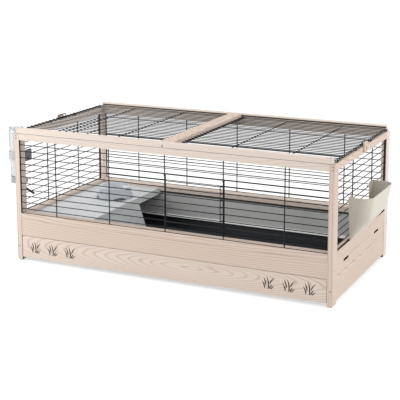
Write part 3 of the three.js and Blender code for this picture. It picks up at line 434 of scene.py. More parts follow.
def see_through(name, colour, edge, clear):
    """Clear moulded plastic, greyer where it is seen edge on: painted shade for its dark outlines."""
    finish = Finish(name)
    swirl = finish.noise(30.0)
    facing = finish.node("ShaderNodeLayerWeight", None, {"Blend": 0.5}, "Facing")
    tinted = finish.mix(swirl, shaded(colour, 0.95), solid(colour))
    # Painted shade where the surface is seen edge on
    coloured = finish.mix(finish.smooth(facing, 0.30, 0.95), tinted, solid(edge))
    finish.set(Base_Color=coloured, Roughness=0.07 + 0.06 * swirl)
    finish.set(Transmission_Weight=clear, IOR=PLASTIC_IOR)
    finish.bump(swirl, 0.05, 0.2 * MM)
    return finish.material


def drawn_steel():
    """Drawn steel with fine lines round it, browned by use."""
    finish = Finish("drawn_steel")
    lines = finish.noise(500.0, place=finish.stretched(1.0, 1.0, 6.0))
    stain = finish.smooth(finish.noise(60.0, 3.0), 0.4, 0.8)
    colour = finish.mix(stain, (0.060, 0.045, 0.036, 1), (0.025, 0.018, 0.014, 1))
    finish.set(Base_Color=colour, Metallic=1.0, Roughness=0.20 + 0.18 * lines)
    finish.bump(lines, 0.12, 0.2 * MM)
    return finish.material


def dark_screw():
    """Browned screw steel with rubbed spots."""
    finish = Finish("dark_screw")
    rub = finish.smooth(finish.noise(400.0, 3.0), 0.45, 0.8)
    colour = finish.mix(rub, (0.022, 0.018, 0.016, 1), (0.060, 0.052, 0.046, 1))
    finish.set(Base_Color=colour, Metallic=1.0, Roughness=0.34 + 0.14 * rub)
    return finish.material


def burnt_wood(colours):
    """Dark, matt wood in the ornament's recesses."""
    finish = Finish("burnt_wood")
    soot = finish.noise(700.0, 3.0)
    colour = finish.mix(soot, solid(colours.burn), shaded(colours.burn, 2.1))
    finish.set(Base_Color=colour, Roughness=0.80 + 0.12 * soot)
    finish.bump(soot, 0.4, 0.3 * MM)
    return finish.material


def studio_floor():
    """Seamless pale paper that shines a little, so that it stays white."""
    finish = Finish("pale_paper")
    tooth = finish.noise(240.0, 3.0)
    colour = finish.mix(tooth, (0.440, 0.440, 0.440, 1), (0.460, 0.460, 0.460, 1))
    finish.set(Base_Color=colour, Roughness=0.85 + 0.08 * tooth)
    finish.set(Emission_Color=colour, Emission_Strength=1.30)
    return finish.material


def made_once(name, make, *colours):
    """The finish of that name, made if it isn't there yet."""
    return bpy.data.materials.get(name) or make(*colours)


# Mesh helpers

def new_object(name, data):
    """An object in the scene that holds some data."""
    made = bpy.data.objects.new(name, data)
    bpy.context.scene.collection.objects.link(made)
    return made


def mesh_object(name, mesh, finish):
    """An object in the scene from a mesh that was being built."""
    data = bpy.data.meshes.new(name)
    mesh.to_mesh(data)
    mesh.free()
    data.materials.append(finish)
    return new_object(name, data)


def new_piece(name, mesh, finish, body, nodes=(), smooth=True):
    """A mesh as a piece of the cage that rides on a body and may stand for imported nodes."""
    bmesh.ops.recalc_face_normals(mesh, faces=mesh.faces)
    piece = mesh_object(name, mesh, finish)
    piece.data.polygons.foreach_set("use_smooth", [smooth] * len(piece.data.polygons))
    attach(piece, body)
    if nodes:
        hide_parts(*nodes)


def new_wires(node, mesh, body):
    """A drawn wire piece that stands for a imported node."""
    coat = made_once("black_powder_coat", coated_wire, bpy.context.scene.cage_colours)
    new_piece(f"{node}_wires", mesh, coat, body, [node])


def ring_points(centre, along, side, radius, count):
    """Points of a circle round a line's direction."""
    across = along.cross(side).normalized()
    turn = 2 * math.pi / count
    return [centre + radius * (side * math.cos(turn * i) + across * math.sin(turn * i))
            for i in range(count)]


def bridge(mesh, first, second):
    """Faces between two rings of equally many vertices."""
    count = len(first)
    for i in range(count):
        j = (i + 1) % count
        mesh.faces.new((first[i], first[j], second[j], second[i]))


END_EASE = 0.35
WELD_SIZE = 0.95


def add_skin(mesh, rings, closed=False):
    """A skin through rings of points, its ends joined to each other or capped."""
    made = [[mesh.verts.new(p) for p in ring] for ring in rings]
    for first, second in zip(made, made[1:]):
        bridge(mesh, first, second)
    if closed:
        bridge(mesh, made[-1], made[0])
    else:
        mesh.faces.new(list(reversed(made[0])))
        mesh.faces.new(made[-1])


def add_wire(mesh, points, radius, sides, closed=False):
    """A round wire along points, its cut ends slightly eased."""
    places = [Vector(p) for p in points]
    last = len(places) - 1
    side = (places[1] - places[0]).orthogonal().normalized()
    ease = radius * END_EASE
    rings = []
    for i, place in enumerate(places):
        before = places[i - 1] if i or closed else place
        after = places[(i + 1) % len(places)] if i < last or closed else place
        along = (after - before).normalized()
        side = (side - along * side.dot(along)).normalized()
        if closed or 0 < i < last:
            rings.append(ring_points(place, along, side, radius, sides))
            continue
        inner = place + along * (-ease if i else ease)
        tip = ring_points(place, along, side, radius - ease, sides)
        shoulder = ring_points(inner, along, side, radius, sides)
        rings += [shoulder, tip] if i else [tip, shoulder]
    add_skin(mesh, rings, closed)


def curve(start, pull, end, t):
    """A point on the curve between two ends that is pulled towards a third point."""
    return start * (1 - t) ** 2 + pull * 2 * t * (1 - t) + end * t ** 2


def rounded_path(points, corner, steps=5):
    """The points of a bent line with its corners rounded."""
    places = [Vector(p) for p in points]
    path = [places[0]]
    for before, here, after in zip(places, places[1:], places[2:]):
        enter = here + (before - here).normalized() * corner
        leave = here + (after - here).normalized() * corner
        for step in range(steps + 1):
            path.append(curve(enter, here, leave, step / steps))
    return path + [places[-1]]


def add_weld(mesh, centre, radius):
    """A small bead where two wires are welded."""
    place = Matrix.Translation(centre)
    bmesh.ops.create_icosphere(mesh, subdivisions=1, radius=radius * WELD_SIZE, matrix=place)


def add_lathe(mesh, profile, centre, sides, along=Vector((0, 0, 1)), side=Vector((1, 0, 0))):
    """A turned body: profile pairs are radius and height along an axis."""
    rings = []
    for radius, height in profile:
        middle = Vector(centre) + along * height
        points = ring_points(middle, along, side, radius, sides) if radius else [middle]
        rings.append([mesh.verts.new(p) for p in points])
    for first, second in zip(rings, rings[1:]):
        if len(first) == len(second):
            bridge(mesh, first, second)
        else:
            (tip,), rim = sorted((first, second), key=len)
            for i in range(sides):
                mesh.faces.new((tip, rim[i], rim[(i + 1) % sides]))


def dress(node, finish, edge, segments=2, angle=30):
    """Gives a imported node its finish, and rounds its sharp edges by modifiers."""
    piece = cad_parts[node]
    piece.data.materials.clear()
    piece.data.materials.append(finish)
    weld = piece.modifiers.new("Join seams", "WELD")
    weld.merge_threshold = 0.02 * MM
    bevel = piece.modifiers.new("Eased edges", "BEVEL")
    bevel.width = edge
    bevel.segments = segments
    bevel.limit_method = "ANGLE"
    bevel.angle_limit = math.radians(angle)
    bevel.use_clamp_overlap = True


def round_box(node):
    """Middle of a turned node's foot, its radius and its height."""
    low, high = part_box(node)
    foot = Vector(((low.x + high.x) / 2, (low.y + high.y) / 2, low.z))
    return foot, (high.x - low.x) / 2, high.z - low.z


# Woodwork

WOOD_GROUPS = (
    ("post_front", HANDS), ("post_back", HANDS), ("top_rail", SIDES), ("lath", FACES),
    ("centre", ("beam",)), ("beam_cleat", FACES), ("sill", SIDES), ("upper_board", FACES),
    ("lower_board", ("back",)), ("side_slat", HANDS), ("lower_board", HANDS), ("tray_runner", HANDS),
)
WOODEN = [f"{group}_{place}" for group, places in WOOD_GROUPS for place in places]
WASH_SHARE = 0.28
# How much painted light each paler piece gets: the share of the whiter wash, and how bright it is
PAINTED_LIGHT_PIECES = {
    "drawer_front": (0.28, 0.95),
    "top_rail_front": (0.45, 0.96),
    "lath_front": (0.45, 1.00),
    "lath_back": (0.45, 1.05),
    "post_front_left": (0.30, 0.90),
    "top_rail_back": (0.65, 1.55),
    "top_rail_left": (0.65, 1.55),
    "post_back_left": (0.45, 1.25),
    "sill_back": (0.35, 1.25),
    "sill_left": (0.35, 1.30),
    "upper_board_back": (0.35, 1.10),
    "lower_board_back": (0.35, 1.05),
    "post_back_right": (0.35, 1.10),
}


def wood_for(node, order, colours):
    """The pine of a piece, cut from the log by the piece's place in the order."""
    cut = order % len(LOG_CUTS)
    if node not in PAINTED_LIGHT_PIECES:
        return pine(node, cut, colours, WASH_SHARE, solid(colours.wash))
    # Pieces with painted light get the whiter wash
    share, painted_light_tone = PAINTED_LIGHT_PIECES[node]
    return pine(node, cut, colours, share, shaded(colours.painted_light_wash, painted_light_tone))


class CAGE_OT_woodwork(bpy.types.Operator):
    """Gives the posts, rails, boards and beam their whitewashed pine and eased edges"""

    bl_idname = "cage.woodwork"
    bl_label = "Woodwork"

    def execute(self, context):
        scene = context.scene
        for order, node in enumerate(WOODEN):
            dress(node, wood_for(node, order, scene.cage_colours), scene.cage_sizes.wood_edge)
        return {"FINISHED"}


# Screws that hold the frame

# Shares of a screw head's radius
CROSS_WIDTH = 0.20
CROSS_LENGTH = 0.62
CROSS_DEPTH = 0.045
HEAD_DOME = 0.055
HEAD_SINK = 0.015
HEAD_SKIRT = 0.5

HEAD_STEPS = 15
BEAM_SCREW_SIZE = 1.3
BEAM_SCREW_ASIDE = -6 * MM
BEAM_SCREW_LEVEL = 496.5 * MM
LONG_SCREW_INSET = 8 * MM
LONG_SCREW_LEVELS = (481.5 * MM, 470.5 * MM, 57 * MM)
# Level of each screw in the cage's ends, and how far it lies from the corner
END_SCREWS = ((480 * MM, 6 * MM), (466 * MM, 19.6 * MM), (128.6 * MM, 9 * MM), (33.3 * MM, 9 * MM))


def screw_height(x, y, radius):
    """Height of a screw head's dome, with its cross-shaped recess, at a place on it."""
    away = math.hypot(x, y) / radius
    dome = HEAD_DOME * radius * (1 - away * away)
    in_cross = min(abs(x), abs(y)) < CROSS_WIDTH * radius and away < CROSS_LENGTH
    return dome - CROSS_DEPTH * radius if in_cross else dome


def add_screw(mesh, centre, outward, radius):
    """A domed screw head with a cross recess, set into the wood."""
    side = outward.orthogonal().normalized()
    across = outward.cross(side)
    last = HEAD_STEPS - 1
    grid = {}
    for i, j in product(range(HEAD_STEPS), repeat=2):
        u = 2 * i / last - 1
        v = 2 * j / last - 1
        x = radius * u * math.sqrt(1 - v * v / 2)
        y = radius * v * math.sqrt(1 - u * u / 2)
        height = screw_height(x, y, radius)
        grid[i, j] = mesh.verts.new(centre + side * x + across * y + outward * height)
    for i, j in product(range(last), repeat=2):
        mesh.faces.new((grid[i, j], grid[i + 1, j], grid[i + 1, j + 1], grid[i, j + 1]))
    up = range(last)
    down = range(last, 0, -1)
    rim = [grid[i, 0] for i in up] + [grid[last, j] for j in up]
    rim += [grid[i, last] for i in down] + [grid[0, j] for j in down]
    sunk = [mesh.verts.new(v.co - outward * radius * HEAD_SKIRT) for v in rim]
    bridge(mesh, rim, sunk)
    mesh.faces.new(sunk)


def frame_screws():
    """Places of the screws, each with the way its head faces and its size."""
    screws = []
    for side, face in product((-1, 1), repeat=2):
        post_x = MIDDLE_X + side * (HALF_LENGTH - LONG_SCREW_INSET)
        screws += [((post_x, face * HALF_DEPTH, level), (0, face, 0), 1.0) for level in LONG_SCREW_LEVELS]
        outer_x = MIDDLE_X + side * HALF_LENGTH
        for level, inset in END_SCREWS:
            screws.append(((outer_x, face * (HALF_DEPTH - inset), level), (side, 0, 0), 1.0))
    beam_x = MIDDLE_X + BEAM_SCREW_ASIDE
    for face in (-1, 1):
        screws.append(((beam_x, face * HALF_DEPTH, BEAM_SCREW_LEVEL), (0, face, 0), BEAM_SCREW_SIZE))
    return screws


class CAGE_OT_screws(bpy.types.Operator):
    """Sets the small screws into the posts, and a larger one at each end of the beam"""

    bl_idname = "cage.screws"
    bl_label = "Frame screws"

    def execute(self, context):
        mesh = bmesh.new()
        for place, facing, size in frame_screws():
            outward = Vector(facing)
            radius = context.scene.cage_sizes.screw_radius * size
            add_screw(mesh, Vector(place) - outward * HEAD_SINK * radius, outward, radius)
        new_piece("frame_screws", mesh, made_once("dark_screw", dark_screw), "cage")
        return {"FINISHED"}


# Wire grids

UPRIGHT_SETBACK = 5.5 * MM
LOWEST_BAR = 202 * MM
BAR_PITCH = 24.4 * MM
BAR_ROWS = 11
UPRIGHT_PITCH = 225 * MM
GROOVE_REACH = 5.5 * MM
UPRIGHT_FOOT = SILL_TOP - 5.7 * MM
UPRIGHT_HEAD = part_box("front_grid")[1].z
OPENING_EDGE = UPRIGHT_PITCH - 12 * MM
OPENING_EDGE_RADIUS = 1.5 * MM
DOOR_ROWS = 9
LONG_UPRIGHTS = [step * UPRIGHT_PITCH for step in (-2, -1, 0, 1, 2)]
SIDE_UPRIGHTS = [-UPRIGHT_PITCH / 2, UPRIGHT_PITCH / 2]


class Wall:
    """One side of the cage, with places along it, inward from its face, and up."""

    def __init__(self, inward, half, reach, uprights):
        self.inward = Vector(inward)
        self.along = self.inward.cross(Vector((0, 0, 1)))
        self.half = half
        self.reach = reach + GROOVE_REACH
        self.uprights = uprights

    def point(self, along, inward, height):
        face = Vector((MIDDLE_X, 0, height)) - self.inward * self.half
        return face + self.along * along + self.inward * inward


WALLS = {
    "front_grid": Wall((0, 1, 0), HALF_DEPTH, POST_INNER_X, LONG_UPRIGHTS),
    "back_grid": Wall((0, -1, 0), HALF_DEPTH, POST_INNER_X, LONG_UPRIGHTS),
    "left_grid": Wall((1, 0, 0), HALF_LENGTH, POST_INNER_Y, SIDE_UPRIGHTS),
    "right_grid": Wall((-1, 0, 0), HALF_LENGTH, POST_INNER_Y, SIDE_UPRIGHTS),
}


def bar_level(row):
    return LOWEST_BAR + row * BAR_PITCH


def bar_setback(sizes):
    return UPRIGHT_SETBACK + sizes.upright_radius + sizes.bar_radius - sizes.weld_depth


def add_bar(mesh, wall, start, end, row, sizes, inward=None):
    inward = bar_setback(sizes) if inward is None else inward
    ends = [wall.point(along, inward, bar_level(row)) for along in (start, end)]
    add_wire(mesh, ends, sizes.bar_radius, sizes.wire_sides)


def add_upright(mesh, wall, along, low, high, radius, sizes, inward=UPRIGHT_SETBACK):
    ends = [wall.point(along, inward, height) for height in (low, high)]
    add_wire(mesh, ends, radius, sizes.wire_sides)


def add_grid(mesh, wall, sizes, cut_rows=()):
    """A grid whose bars run from post to post, except in the rows that the doorway cuts."""
    whole = [(-wall.reach, wall.reach)]
    parted = [(-wall.reach, sizes.upright_radius), (OPENING_EDGE - OPENING_EDGE_RADIUS, wall.reach)]
    for row in range(BAR_ROWS):
        for start, end in parted if row in cut_rows else whole:
            add_bar(mesh, wall, start, end, row, sizes)
    middle = UPRIGHT_SETBACK + sizes.upright_radius - sizes.weld_depth / 2
    for along in wall.uprights:
        add_upright(mesh, wall, along, UPRIGHT_FOOT, UPRIGHT_HEAD, sizes.upright_radius, sizes)
        for row in range(BAR_ROWS):
            add_weld(mesh, wall.point(along, middle, bar_level(row)), sizes.bar_radius)


def add_opening_edge(mesh, wall, sizes, cut_rows):
    """The short upright that closes the cut bars beside the doorway."""
    inward = bar_setback(sizes) - sizes.bar_radius - OPENING_EDGE_RADIUS + sizes.weld_depth
    low = bar_level(cut_rows[0]) - sizes.bar_radius
    high = bar_level(cut_rows[-1]) + sizes.bar_radius
    add_upright(mesh, wall, OPENING_EDGE, low, high, OPENING_EDGE_RADIUS, sizes, inward)


class CAGE_OT_grids(bpy.types.Operator):
    """Draws the four wire grids in round welded wire"""

    bl_idname = "cage.grids"
    bl_label = "Wire grids"

    def execute(self, context):
        sizes = context.scene.cage_sizes
        for node, wall in WALLS.items():
            mesh = bmesh.new()
            cut_rows = range(1, DOOR_ROWS - 1) if node == "front_grid" else ()
            add_grid(mesh, wall, sizes, cut_rows)
            if cut_rows:
                add_opening_edge(mesh, wall, sizes, cut_rows)
            new_wires(node, mesh, "cage")
        return {"FINISHED"}


# Front door

EYE_TUBE = 1.1 * MM
EYE_DROP = 5 * MM
EYE_STEPS = 20
EYE_SIDES = 10
DOOR_SIDE_OFFSET = 4.2 * MM


def add_eye(mesh, wall, along, height, radius, half=False):
    """A wire eye round an upright, or its outer half."""
    sweep = math.pi if half else 2 * math.pi
    points = []
    for i in range(EYE_STEPS + half):
        turn = math.pi + sweep * i / EYE_STEPS
        inward = UPRIGHT_SETBACK + radius * math.sin(turn)
        points.append(wall.point(along + radius * math.cos(turn), inward, height))
    add_wire(mesh, points, EYE_TUBE, EYE_SIDES, closed=not half)


class CAGE_OT_front_door(bpy.types.Operator):
    """Draws the wire door with its hinge eyes and clips"""

    bl_idname = "cage.front_door"
    bl_label = "Front door"

    def execute(self, context):
        sizes = context.scene.cage_sizes
        wall = WALLS["front_grid"]
        radius = sizes.bar_radius
        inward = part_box("front_door")[0].y + HALF_DEPTH + radius
        side_inward = inward + 2 * radius - sizes.weld_depth
        sides = (DOOR_SIDE_OFFSET, UPRIGHT_PITCH + DOOR_SIDE_OFFSET)
        mesh = bmesh.new()
        for row in range(DOOR_ROWS):
            add_bar(mesh, wall, sides[0] - radius, sides[1] + radius, row, sizes, inward)
        low = bar_level(0) - radius
        high = bar_level(DOOR_ROWS - 1) + radius
        for along in sides:
            add_upright(mesh, wall, along, low, high, radius, sizes, side_inward)
        eye = sizes.upright_radius + RUNNING_GAP + EYE_TUBE
        for height in (bar_level(0) + EYE_DROP, bar_level(DOOR_ROWS - 1) - EYE_DROP):
            add_eye(mesh, wall, 0, height, eye)
            add_eye(mesh, wall, UPRIGHT_PITCH, height, eye, half=True)
        new_wires("front_door", mesh, "door")
        return {"FINISHED"}


# Roof lids

LID_WIRES = 24
LID_PITCH = 25 * MM
LID_LEVEL = 498.5 * MM
HINGE_X = 34 * MM
LID_TAIL = 6 * MM
SECOND_HINGE_WIRE = 6 * MM
SECOND_EDGE_WIRE = 9 * MM
LID_EDGE_X = HALF_LENGTH - 4 * MM
LID_END_X = HALF_LENGTH - 0.8 * MM
FOOT_RETURN = 13 * MM
FOOT_BEND = 2.2 * MM
HINGE_END = HALF_DEPTH - 14 * MM
FOOT_WIRES = (0, 8, 15, 23)
PULL_WIDTH = 50 * MM
PULL_CORNER = 5 * MM
PULL_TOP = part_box("roof_lid_right")[1].z


def add_lid(mesh, side, sizes):
    """One lid: long wires on cross wires, a hinge wire by the beam, feet and a finger pull."""
    radius = sizes.bar_radius
    low_level = LID_LEVEL - 2 * radius + sizes.weld_depth
    span = (LID_WIRES - 1) * LID_PITCH

    def point(x, y, z):
        return Vector((MIDDLE_X + side * x, y, z))

    def wire(points):
        add_wire(mesh, points, radius, sizes.wire_sides)

    for index in range(LID_WIRES):
        y = index * LID_PITCH - span / 2
        wire((point(HINGE_X - LID_TAIL, y, LID_LEVEL), point(LID_END_X, y, LID_LEVEL)))
        if index in FOOT_WIRES:
            rest = RAIL_TOP + SEAT_GAP + radius
            bend = ((LID_END_X - FOOT_RETURN, LID_LEVEL), (LID_END_X - radius, LID_LEVEL),
                    (LID_END_X - radius, rest), (LID_END_X - FOOT_RETURN, rest))
            wire(rounded_path([point(x, y, z) for x, z in bend], FOOT_BEND))
    crosses = (LID_EDGE_X, LID_EDGE_X - SECOND_EDGE_WIRE, 2 * UPRIGHT_PITCH, UPRIGHT_PITCH,
               HINGE_X + SECOND_HINGE_WIRE)
    for x in crosses:
        wire((point(x, -span / 2 - radius, low_level), point(x, span / 2 + radius, low_level)))
    wire((point(HINGE_X, -HINGE_END, low_level), point(HINGE_X, HINGE_END, low_level)))
    half = PULL_WIDTH / 2
    top = PULL_TOP - radius
    pull = ((-half, low_level), (-half, top), (half, top), (half, low_level))
    wire(rounded_path([point(LID_EDGE_X, y, z) for y, z in pull], PULL_CORNER))
    middle = LID_LEVEL - radius + sizes.weld_depth / 2
    for x, index in product((HINGE_X, *crosses), range(LID_WIRES)):
        add_weld(mesh, point(x, index * LID_PITCH - span / 2, middle), radius)


class CAGE_OT_roof_lids(bpy.types.Operator):
    """Draws the two wire lids of the roof"""

    bl_idname = "cage.roof_lids"
    bl_label = "Roof lids"

    def execute(self, context):
        for hand, side in HANDS.items():
            mesh = bmesh.new()
            add_lid(mesh, side, context.scene.cage_sizes)
            new_wires(f"roof_lid_{hand}", mesh, f"lid_{hand}")
        return {"FINISHED"}


# Turn buttons

# Shares of the screw head's radius
BUTTON_HEAD_SINK = 0.36
SHANK_SIZE = 0.5
SHANK_TOP = 0.8

SHANK_SIDES = 20


class CAGE_OT_turn_buttons(bpy.types.Operator):
    """Finishes the wooden turn buttons and their screws"""

    bl_idname = "cage.turn_buttons"
    bl_label = "Turn buttons"

    def execute(self, context):
        scene = context.scene
        for order, (hand, side) in enumerate(HANDS.items()):
            node = f"turn_button_{hand}"
            dress(node, wood_for(node, order + 1, scene.cage_colours), scene.cage_sizes.wood_edge)
            screw = f"button_screw_{hand}"
            low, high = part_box(screw)
            outward = Vector((side, 0, 0))
            radius = (high.z - low.z) / 2
            middle = (low + high) / 2
            middle.x = low.x if side < 0 else high.x
            mesh = bmesh.new()
            add_screw(mesh, middle - outward * radius * BUTTON_HEAD_SINK, outward, radius)
            size = SHANK_SIZE * radius
            foot = low.x - high.x
            top = -SHANK_TOP * radius
            shank = [(0, foot), (size, foot), (size, top), (0, top)]
            add_lathe(mesh, shank, middle, SHANK_SIDES, outward, Vector((0, 1, 0)))
            new_piece(f"{screw}_head", mesh, made_once("dark_screw", dark_screw), "cage", [screw])
        return {"FINISHED"}


# Liners and litter drawer

# Heights of the liners' painted shade under the sill, and of their lighter band at the foot
LINER_TOP_SHADE = 2.2 * MM
LINER_FOOT_BAND = 11 * MM
THIN_EDGE = 0.6


class CAGE_OT_liners(bpy.types.Operator):
    """Finishes the grey sheets behind the boards"""

    bl_idname = "cage.liners"
    bl_label = "Liners"

    def execute(self, context):
        scene = context.scene
        foot, top = (corner.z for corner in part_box("liner_back"))
        # Painted shade in a band along the top, under the sill, and a lighter band at the foot
        bands = ((top - LINER_TOP_SHADE, top + SKIN, 0.10), (foot - SKIN, foot + LINER_FOOT_BAND, 1.45))
        grey = moulded("liner_plastic", scene.cage_colours.liner, 0.40, bands=bands)
        for side in SIDES:
            dress(f"liner_{side}", grey, scene.cage_sizes.moulded_edge * THIN_EDGE)
        return {"FINISHED"}


TUFT_WIDTH = 47 * MM
TUFT_HEIGHT = 45 * MM
TUFT_MIDDLE = 57.5 * MM
# Places of the tufts, in millimetres from the cage's left end
TUFT_PLACES = (80, 156, 231, 1020, 1095, 1169)
# Each blade as shares of the tuft's width and height: foot, bend and tip across, then foot and tip up
BLADES = (
    (-0.28, -0.26, -0.50, 0.02, 0.62),
    (-0.20, -0.18, -0.36, 0.28, 0.88),
    (-0.02, 0.10, -0.14, 0.00, 1.00),
    (0.02, 0.02, 0.02, 0.05, 0.62),
    (0.14, 0.16, 0.48, 0.40, 0.92),
    (0.10, 0.14, 0.30, 0.02, 0.40),
    (0.20, 0.28, 0.46, 0.00, 0.30),
)
BLADE_WIDTH = 5.0 * MM
BLADE_PROUD = 0.25 * MM
BLADE_SUNK = 0.3 * MM
BLADE_STEPS = 9
# A blade's width follows a sine from near one zero to near the next, raised to a power
BLADE_START = 0.12
BLADE_SPAN = 0.86
BLADE_POWER = 0.7


def add_blade(mesh, centre_x, face_y, blade):
    """One curved blade of grass, thin as an inlay on the drawer's face."""
    foot, bend, tip, low, high = blade
    base_z = TUFT_MIDDLE - TUFT_HEIGHT / 2
    section = ((-1, 0), (0, -BLADE_PROUD), (1, 0), (0, BLADE_SUNK))
    rings = []
    for step in range(BLADE_STEPS + 1):
        t = step / BLADE_STEPS
        x = centre_x + curve(foot, bend, tip, t) * TUFT_WIDTH
        z = base_z + (low + (high - low) * t) * TUFT_HEIGHT
        half = BLADE_WIDTH / 2 * math.sin(math.pi * (BLADE_START + BLADE_SPAN * t)) ** BLADE_POWER
        rings.append([(x + half * u, face_y + v, z) for u, v in section])
    add_skin(mesh, rings)


class CAGE_OT_drawer(bpy.types.Operator):
    """Finishes the drawer's board with its grass ornament, and the litter tray"""

    bl_idname = "cage.drawer"
    bl_label = "Litter drawer"

    def execute(self, context):
        sizes = context.scene.cage_sizes
        colours = context.scene.cage_colours
        dress("drawer_front", wood_for("drawer_front", 2, colours), sizes.wood_edge)
        black = moulded("tray_plastic", colours.tray, gloss=0.34, sparkle=0.8, scuff=0.25)
        dress("drawer_tray", black, sizes.moulded_edge)
        mesh = bmesh.new()
        left = MIDDLE_X - HALF_LENGTH
        face_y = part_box("drawer_front")[0].y
        for place, blade in product(TUFT_PLACES, BLADES):
            add_blade(mesh, left + place * MM, face_y, blade)
        new_piece("grass_ornament", mesh, burnt_wood(colours), "drawer")
        return {"FINISHED"}


# Hutch and bowl

HUTCH_CHAMFER = 17 * MM
HUTCH_ROOF_SKIN = 1.5 * MM
HUTCH_EDGES = 2.5


class CAGE_OT_hutch(bpy.types.Operator):
    """Finishes the hutch"""

    bl_idname = "cage.hutch"
    bl_label = "Hutch"

    def execute(self, context):
        scene = context.scene
        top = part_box("hutch")[1].z
        # Painted shade on the chamfer and, less of it, on the walls below the lit roof
        bands = ((top - HUTCH_CHAMFER, top - HUTCH_ROOF_SKIN, 0.52), (0.0, top - HUTCH_CHAMFER, 0.76))
        grey = moulded("hutch_plastic", scene.cage_colours.hutch, 0.40, bands=bands)
        dress("hutch", grey, HUTCH_EDGES * scene.cage_sizes.moulded_edge, segments=4)
        return {"FINISHED"}


BOWL_SIDES = 96
ARCHES = 4
ARCH_HALF_WIDTH = 27 * MM
ARCH_HEIGHT = 11 * MM
BOWL_LEAN = 11 * MM
BOWL_DEPTH = 36 * MM
BOWL_WALL = 2.4 * MM
BOWL_RIM_HIGHLIGHT = 2.2 * MM


def skirt_lift(angle, reach):
    """Height of the skirt's foot above the ground at an angle, raised at the arches."""
    step = 2 * math.pi / ARCHES
    off = abs((angle % step) - step / 2)
    share = math.sin(off) * reach / ARCH_HALF_WIDTH
    return ARCH_HEIGHT * math.sqrt(1 - share * share) if share < 1 else 0.0


class CAGE_OT_bowl(bpy.types.Operator):
    """Draws the tipping-proof food bowl"""

    bl_idname = "cage.bowl"
    bl_label = "Food bowl"

    def execute(self, context):
        centre, base, height = round_box("bowl")
        rim = base - BOWL_LEAN
        floor = height - BOWL_DEPTH
        thick = BOWL_WALL
        dish = [(0, floor), (42 * MM, floor), (45 * MM, floor + 0.8 * MM), (47 * MM, floor + 3 * MM)]
        lip = [(rim - 8 * MM, height - 6 * MM), (rim - 6 * MM, height - 1.6 * MM), (rim - 3 * MM, height),
               (rim - 0.8 * MM, height - 0.6 * MM), (rim, height - 3 * MM)]
        skirt = [(base - 1.2 * MM, 7 * MM), (base, 3 * MM), (base, 0),
                 (base - thick, 0), (base - thick, 4 * MM)]
        under_lip = [(rim - thick, height - 5.5 * MM), (rim - 5 * MM, height - 6 * MM),
                     (rim - 8 * MM - thick, height - 9 * MM)]
        under_dish = [(45 * MM, floor - 0.5 * MM), (42 * MM, floor - thick), (0, floor - thick)]
        mesh = bmesh.new()
        add_lathe(mesh, dish + lip + skirt + under_lip + under_dish, centre, BOWL_SIDES)
        for vertex in mesh.verts:
            away = vertex.co - centre
            reach = math.hypot(away.x, away.y)
            if reach > rim - thick:
                lift = skirt_lift(math.atan2(away.y, away.x), reach)
                vertex.co.z = max(vertex.co.z, centre.z + lift)
        top = centre.z + height
        # A painted highlight along the rim
        bands = ((top - BOWL_RIM_HIGHLIGHT, top + SKIN, 1.35),)
        tint = context.scene.cage_colours.bowl
        blue = moulded("bowl_plastic", tint, gloss=0.36, sparkle=0.3, clear=0.4, bands=bands)
        new_piece("food_bowl", mesh, blue, "cage", ["bowl"])
        return {"FINISHED"}


# Drinking bottle

BOTTLE_SIDES = 64
BOTTLE_FOOT = 24 * MM
BOTTLE_WALL = 1.1 * MM
BOTTLE_STEPS = 9
BOTTLE_FOOT_EDGE = 2 * MM
BOTTLE_RIM = 8 * MM
BOTTLE_RECESS = 5 * MM
BOTTLE_CEILING = 8 * MM
# The bottle's neck and rim: inward from its radius and down from its top, in millimetres
NECK = ((0, 16), (1, 12), (3.5, 9), (3.5, 7), (0.3, 5), (0, 4), (0, 1), (1, 0))
NECK_RIM_POINTS = 5
CAP_RIBS = 30
POINTS_PER_RIB = 4
RIB_DEPTH = 0.7 * MM
TUBE_RADIUS = 4.2 * MM
TUBE_SIDES = 24
TUBE_SLOPE = 0.47
TUBE_BEND = 7 * MM
TUBE_IN_CAP = 8 * MM
# How far the middle of the tube's end lies from the corner of its box
TUBE_END = (0.6 * MM, 3.4 * MM)
HOLDER_EDGE = 0.8 * MM


